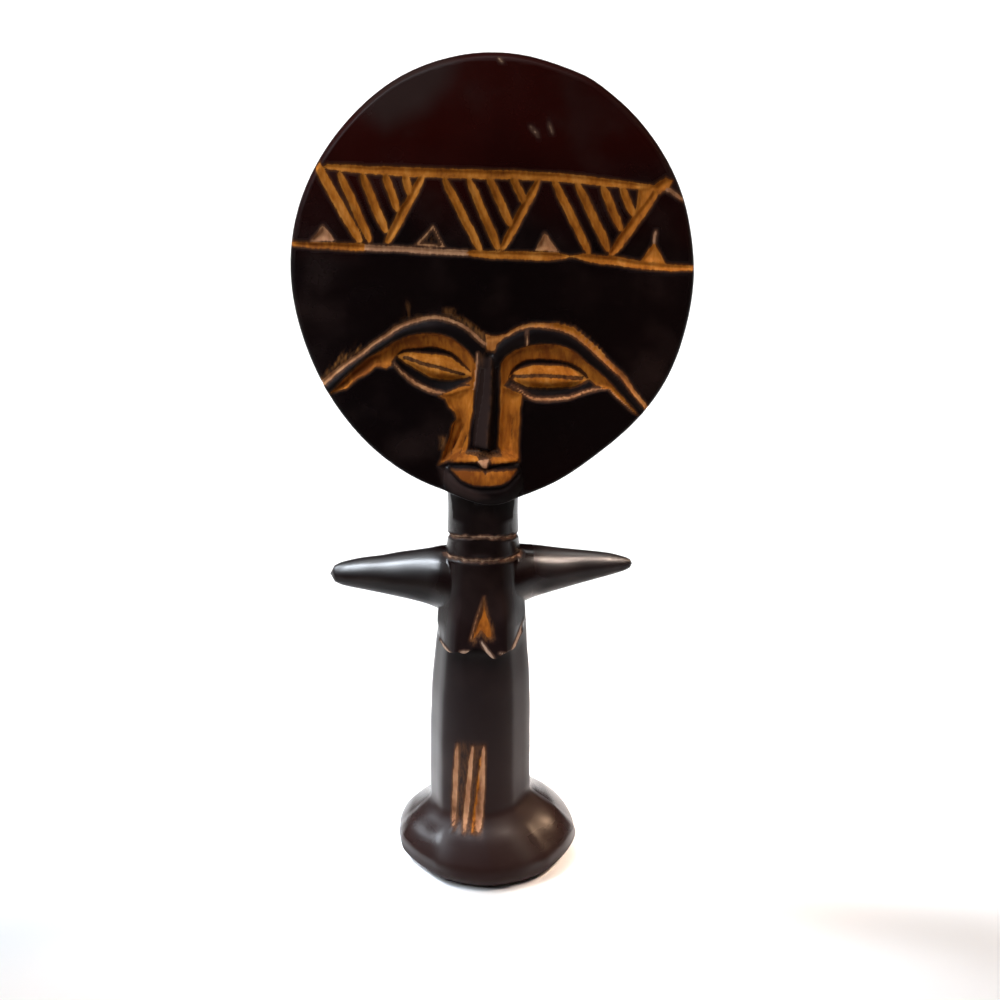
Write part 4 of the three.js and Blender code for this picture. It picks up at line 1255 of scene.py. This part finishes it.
# %% [markdown]
# ## Floor, light and camera
#
# The photograph is a cut-out on white, so the doll stands on a pale floor that one large lamp brings to
# white. That lamp hangs behind the doll and its beam is narrow, so the doll itself stays dark. Lamps all
# round would turn the stain grey, because what shape is seen in it is seen by its gloss. A soft window from
# the left front lights the head, and a small lamp above each arm, cool on the left and warm on the right,
# draws the band of light along its top. Two low lamps brush the sides of the foot. The camera is where the
# photographer's was, a little above the doll and looking down at it.

# %% Floor
bpy.ops.mesh.primitive_plane_add(size=6)
floor = bpy.context.object
floor.name = "floor"
floor_paint = bpy.data.materials.new("pale_floor")
floor_paint.use_nodes = True
paint = floor_paint.node_tree.nodes["Principled BSDF"]
paint.inputs["Base Color"].default_value = (0.92, 0.92, 0.92, 1)
paint.inputs["Roughness"].default_value = 0.9
floor.data.materials.append(floor_paint)
print("floor:", round(floor.dimensions.x, 1), "m wide")


# %% Lights
def lamp(name, place, aim, size, power, colour, spread=180, long=None):
    """A soft light at a place, aimed at another: square, or long one way, and narrowed by its spread in
    degrees."""
    data = bpy.data.lights.new(name, "AREA")
    data.size = size
    if long:
        data.shape = "RECTANGLE"
        data.size_y = long
    data.energy = power
    data.color = colour
    data.spread = math.radians(spread)
    light = bpy.data.objects.new(name, data)
    bpy.context.scene.collection.objects.link(light)
    light.location = place
    light.rotation_euler = (Vector(place) - Vector(aim)).to_track_quat("Z", "Y").to_euler()


COOL = (0.85, 0.92, 1)
WARM = (1, 0.8, 0.68)
LEFT_ARM = (-0.085, 0.01, 0.095)
RIGHT_ARM = (0.09, 0.01, 0.1)
lamp("floor_light", (0, 1.15, 1.2), (0, 1.15, 0), 1.6, 17.5, (1, 1, 1), 40, 2.2)
lamp("window_left", (-0.41, -0.39, 0.7), (0, 0.05, 0.25), 0.35, 0.6, COOL, 50)
lamp("room", (0.1, -0.9, 1.1), (0, 0, 0.25), 0.8, 0.1, (1, 0.93, 0.85), 60)
lamp("over_left_arm", (-0.37, -0.22, 0.76), LEFT_ARM, 0.16, 0.11, COOL, 9)
lamp("over_right_arm", (0.38, -0.29, 0.74), RIGHT_ARM, 0.16, 0.11, WARM, 9)
lamp("low_left", (-0.6, 0.17, 0.47), (-0.03, -0.02, 0.01), 0.35, 0.3, COOL, 14)
lamp("low_right", (0.6, 0.17, 0.47), (0.03, -0.02, 0.01), 0.35, 0.15, (1, 0.66, 0.42), 14)
print("lamps:", len(bpy.data.lights))

# %% The dim room round them
room = bpy.data.worlds.new("dim_room")
room.use_nodes = True
air = room.node_tree.nodes["Background"]
air.inputs["Color"].default_value = (1, 0.8, 0.75, 1)
air.inputs["Strength"].default_value = 0.01
bpy.context.scene.world = room
bpy.context.scene.view_settings.view_transform = "Standard"
print("room:", air.inputs["Strength"].default_value, "of full light")

# %% Camera
LOOKING_DOWN = 23.43
camera_data = bpy.data.cameras.new("camera")
camera_data.lens = 71.25
camera_data.sensor_width = 36
camera = bpy.data.objects.new("camera", camera_data)
camera.location = (0.005, -0.64435, 0.42351)
camera.rotation_euler = (math.radians(90 - LOOKING_DOWN), 0, 0)
bpy.context.scene.collection.objects.link(camera)
bpy.context.scene.camera = camera
print("camera:", round(camera.location.length, 2), "m from the foot, looking down", LOOKING_DOWN, "degrees")
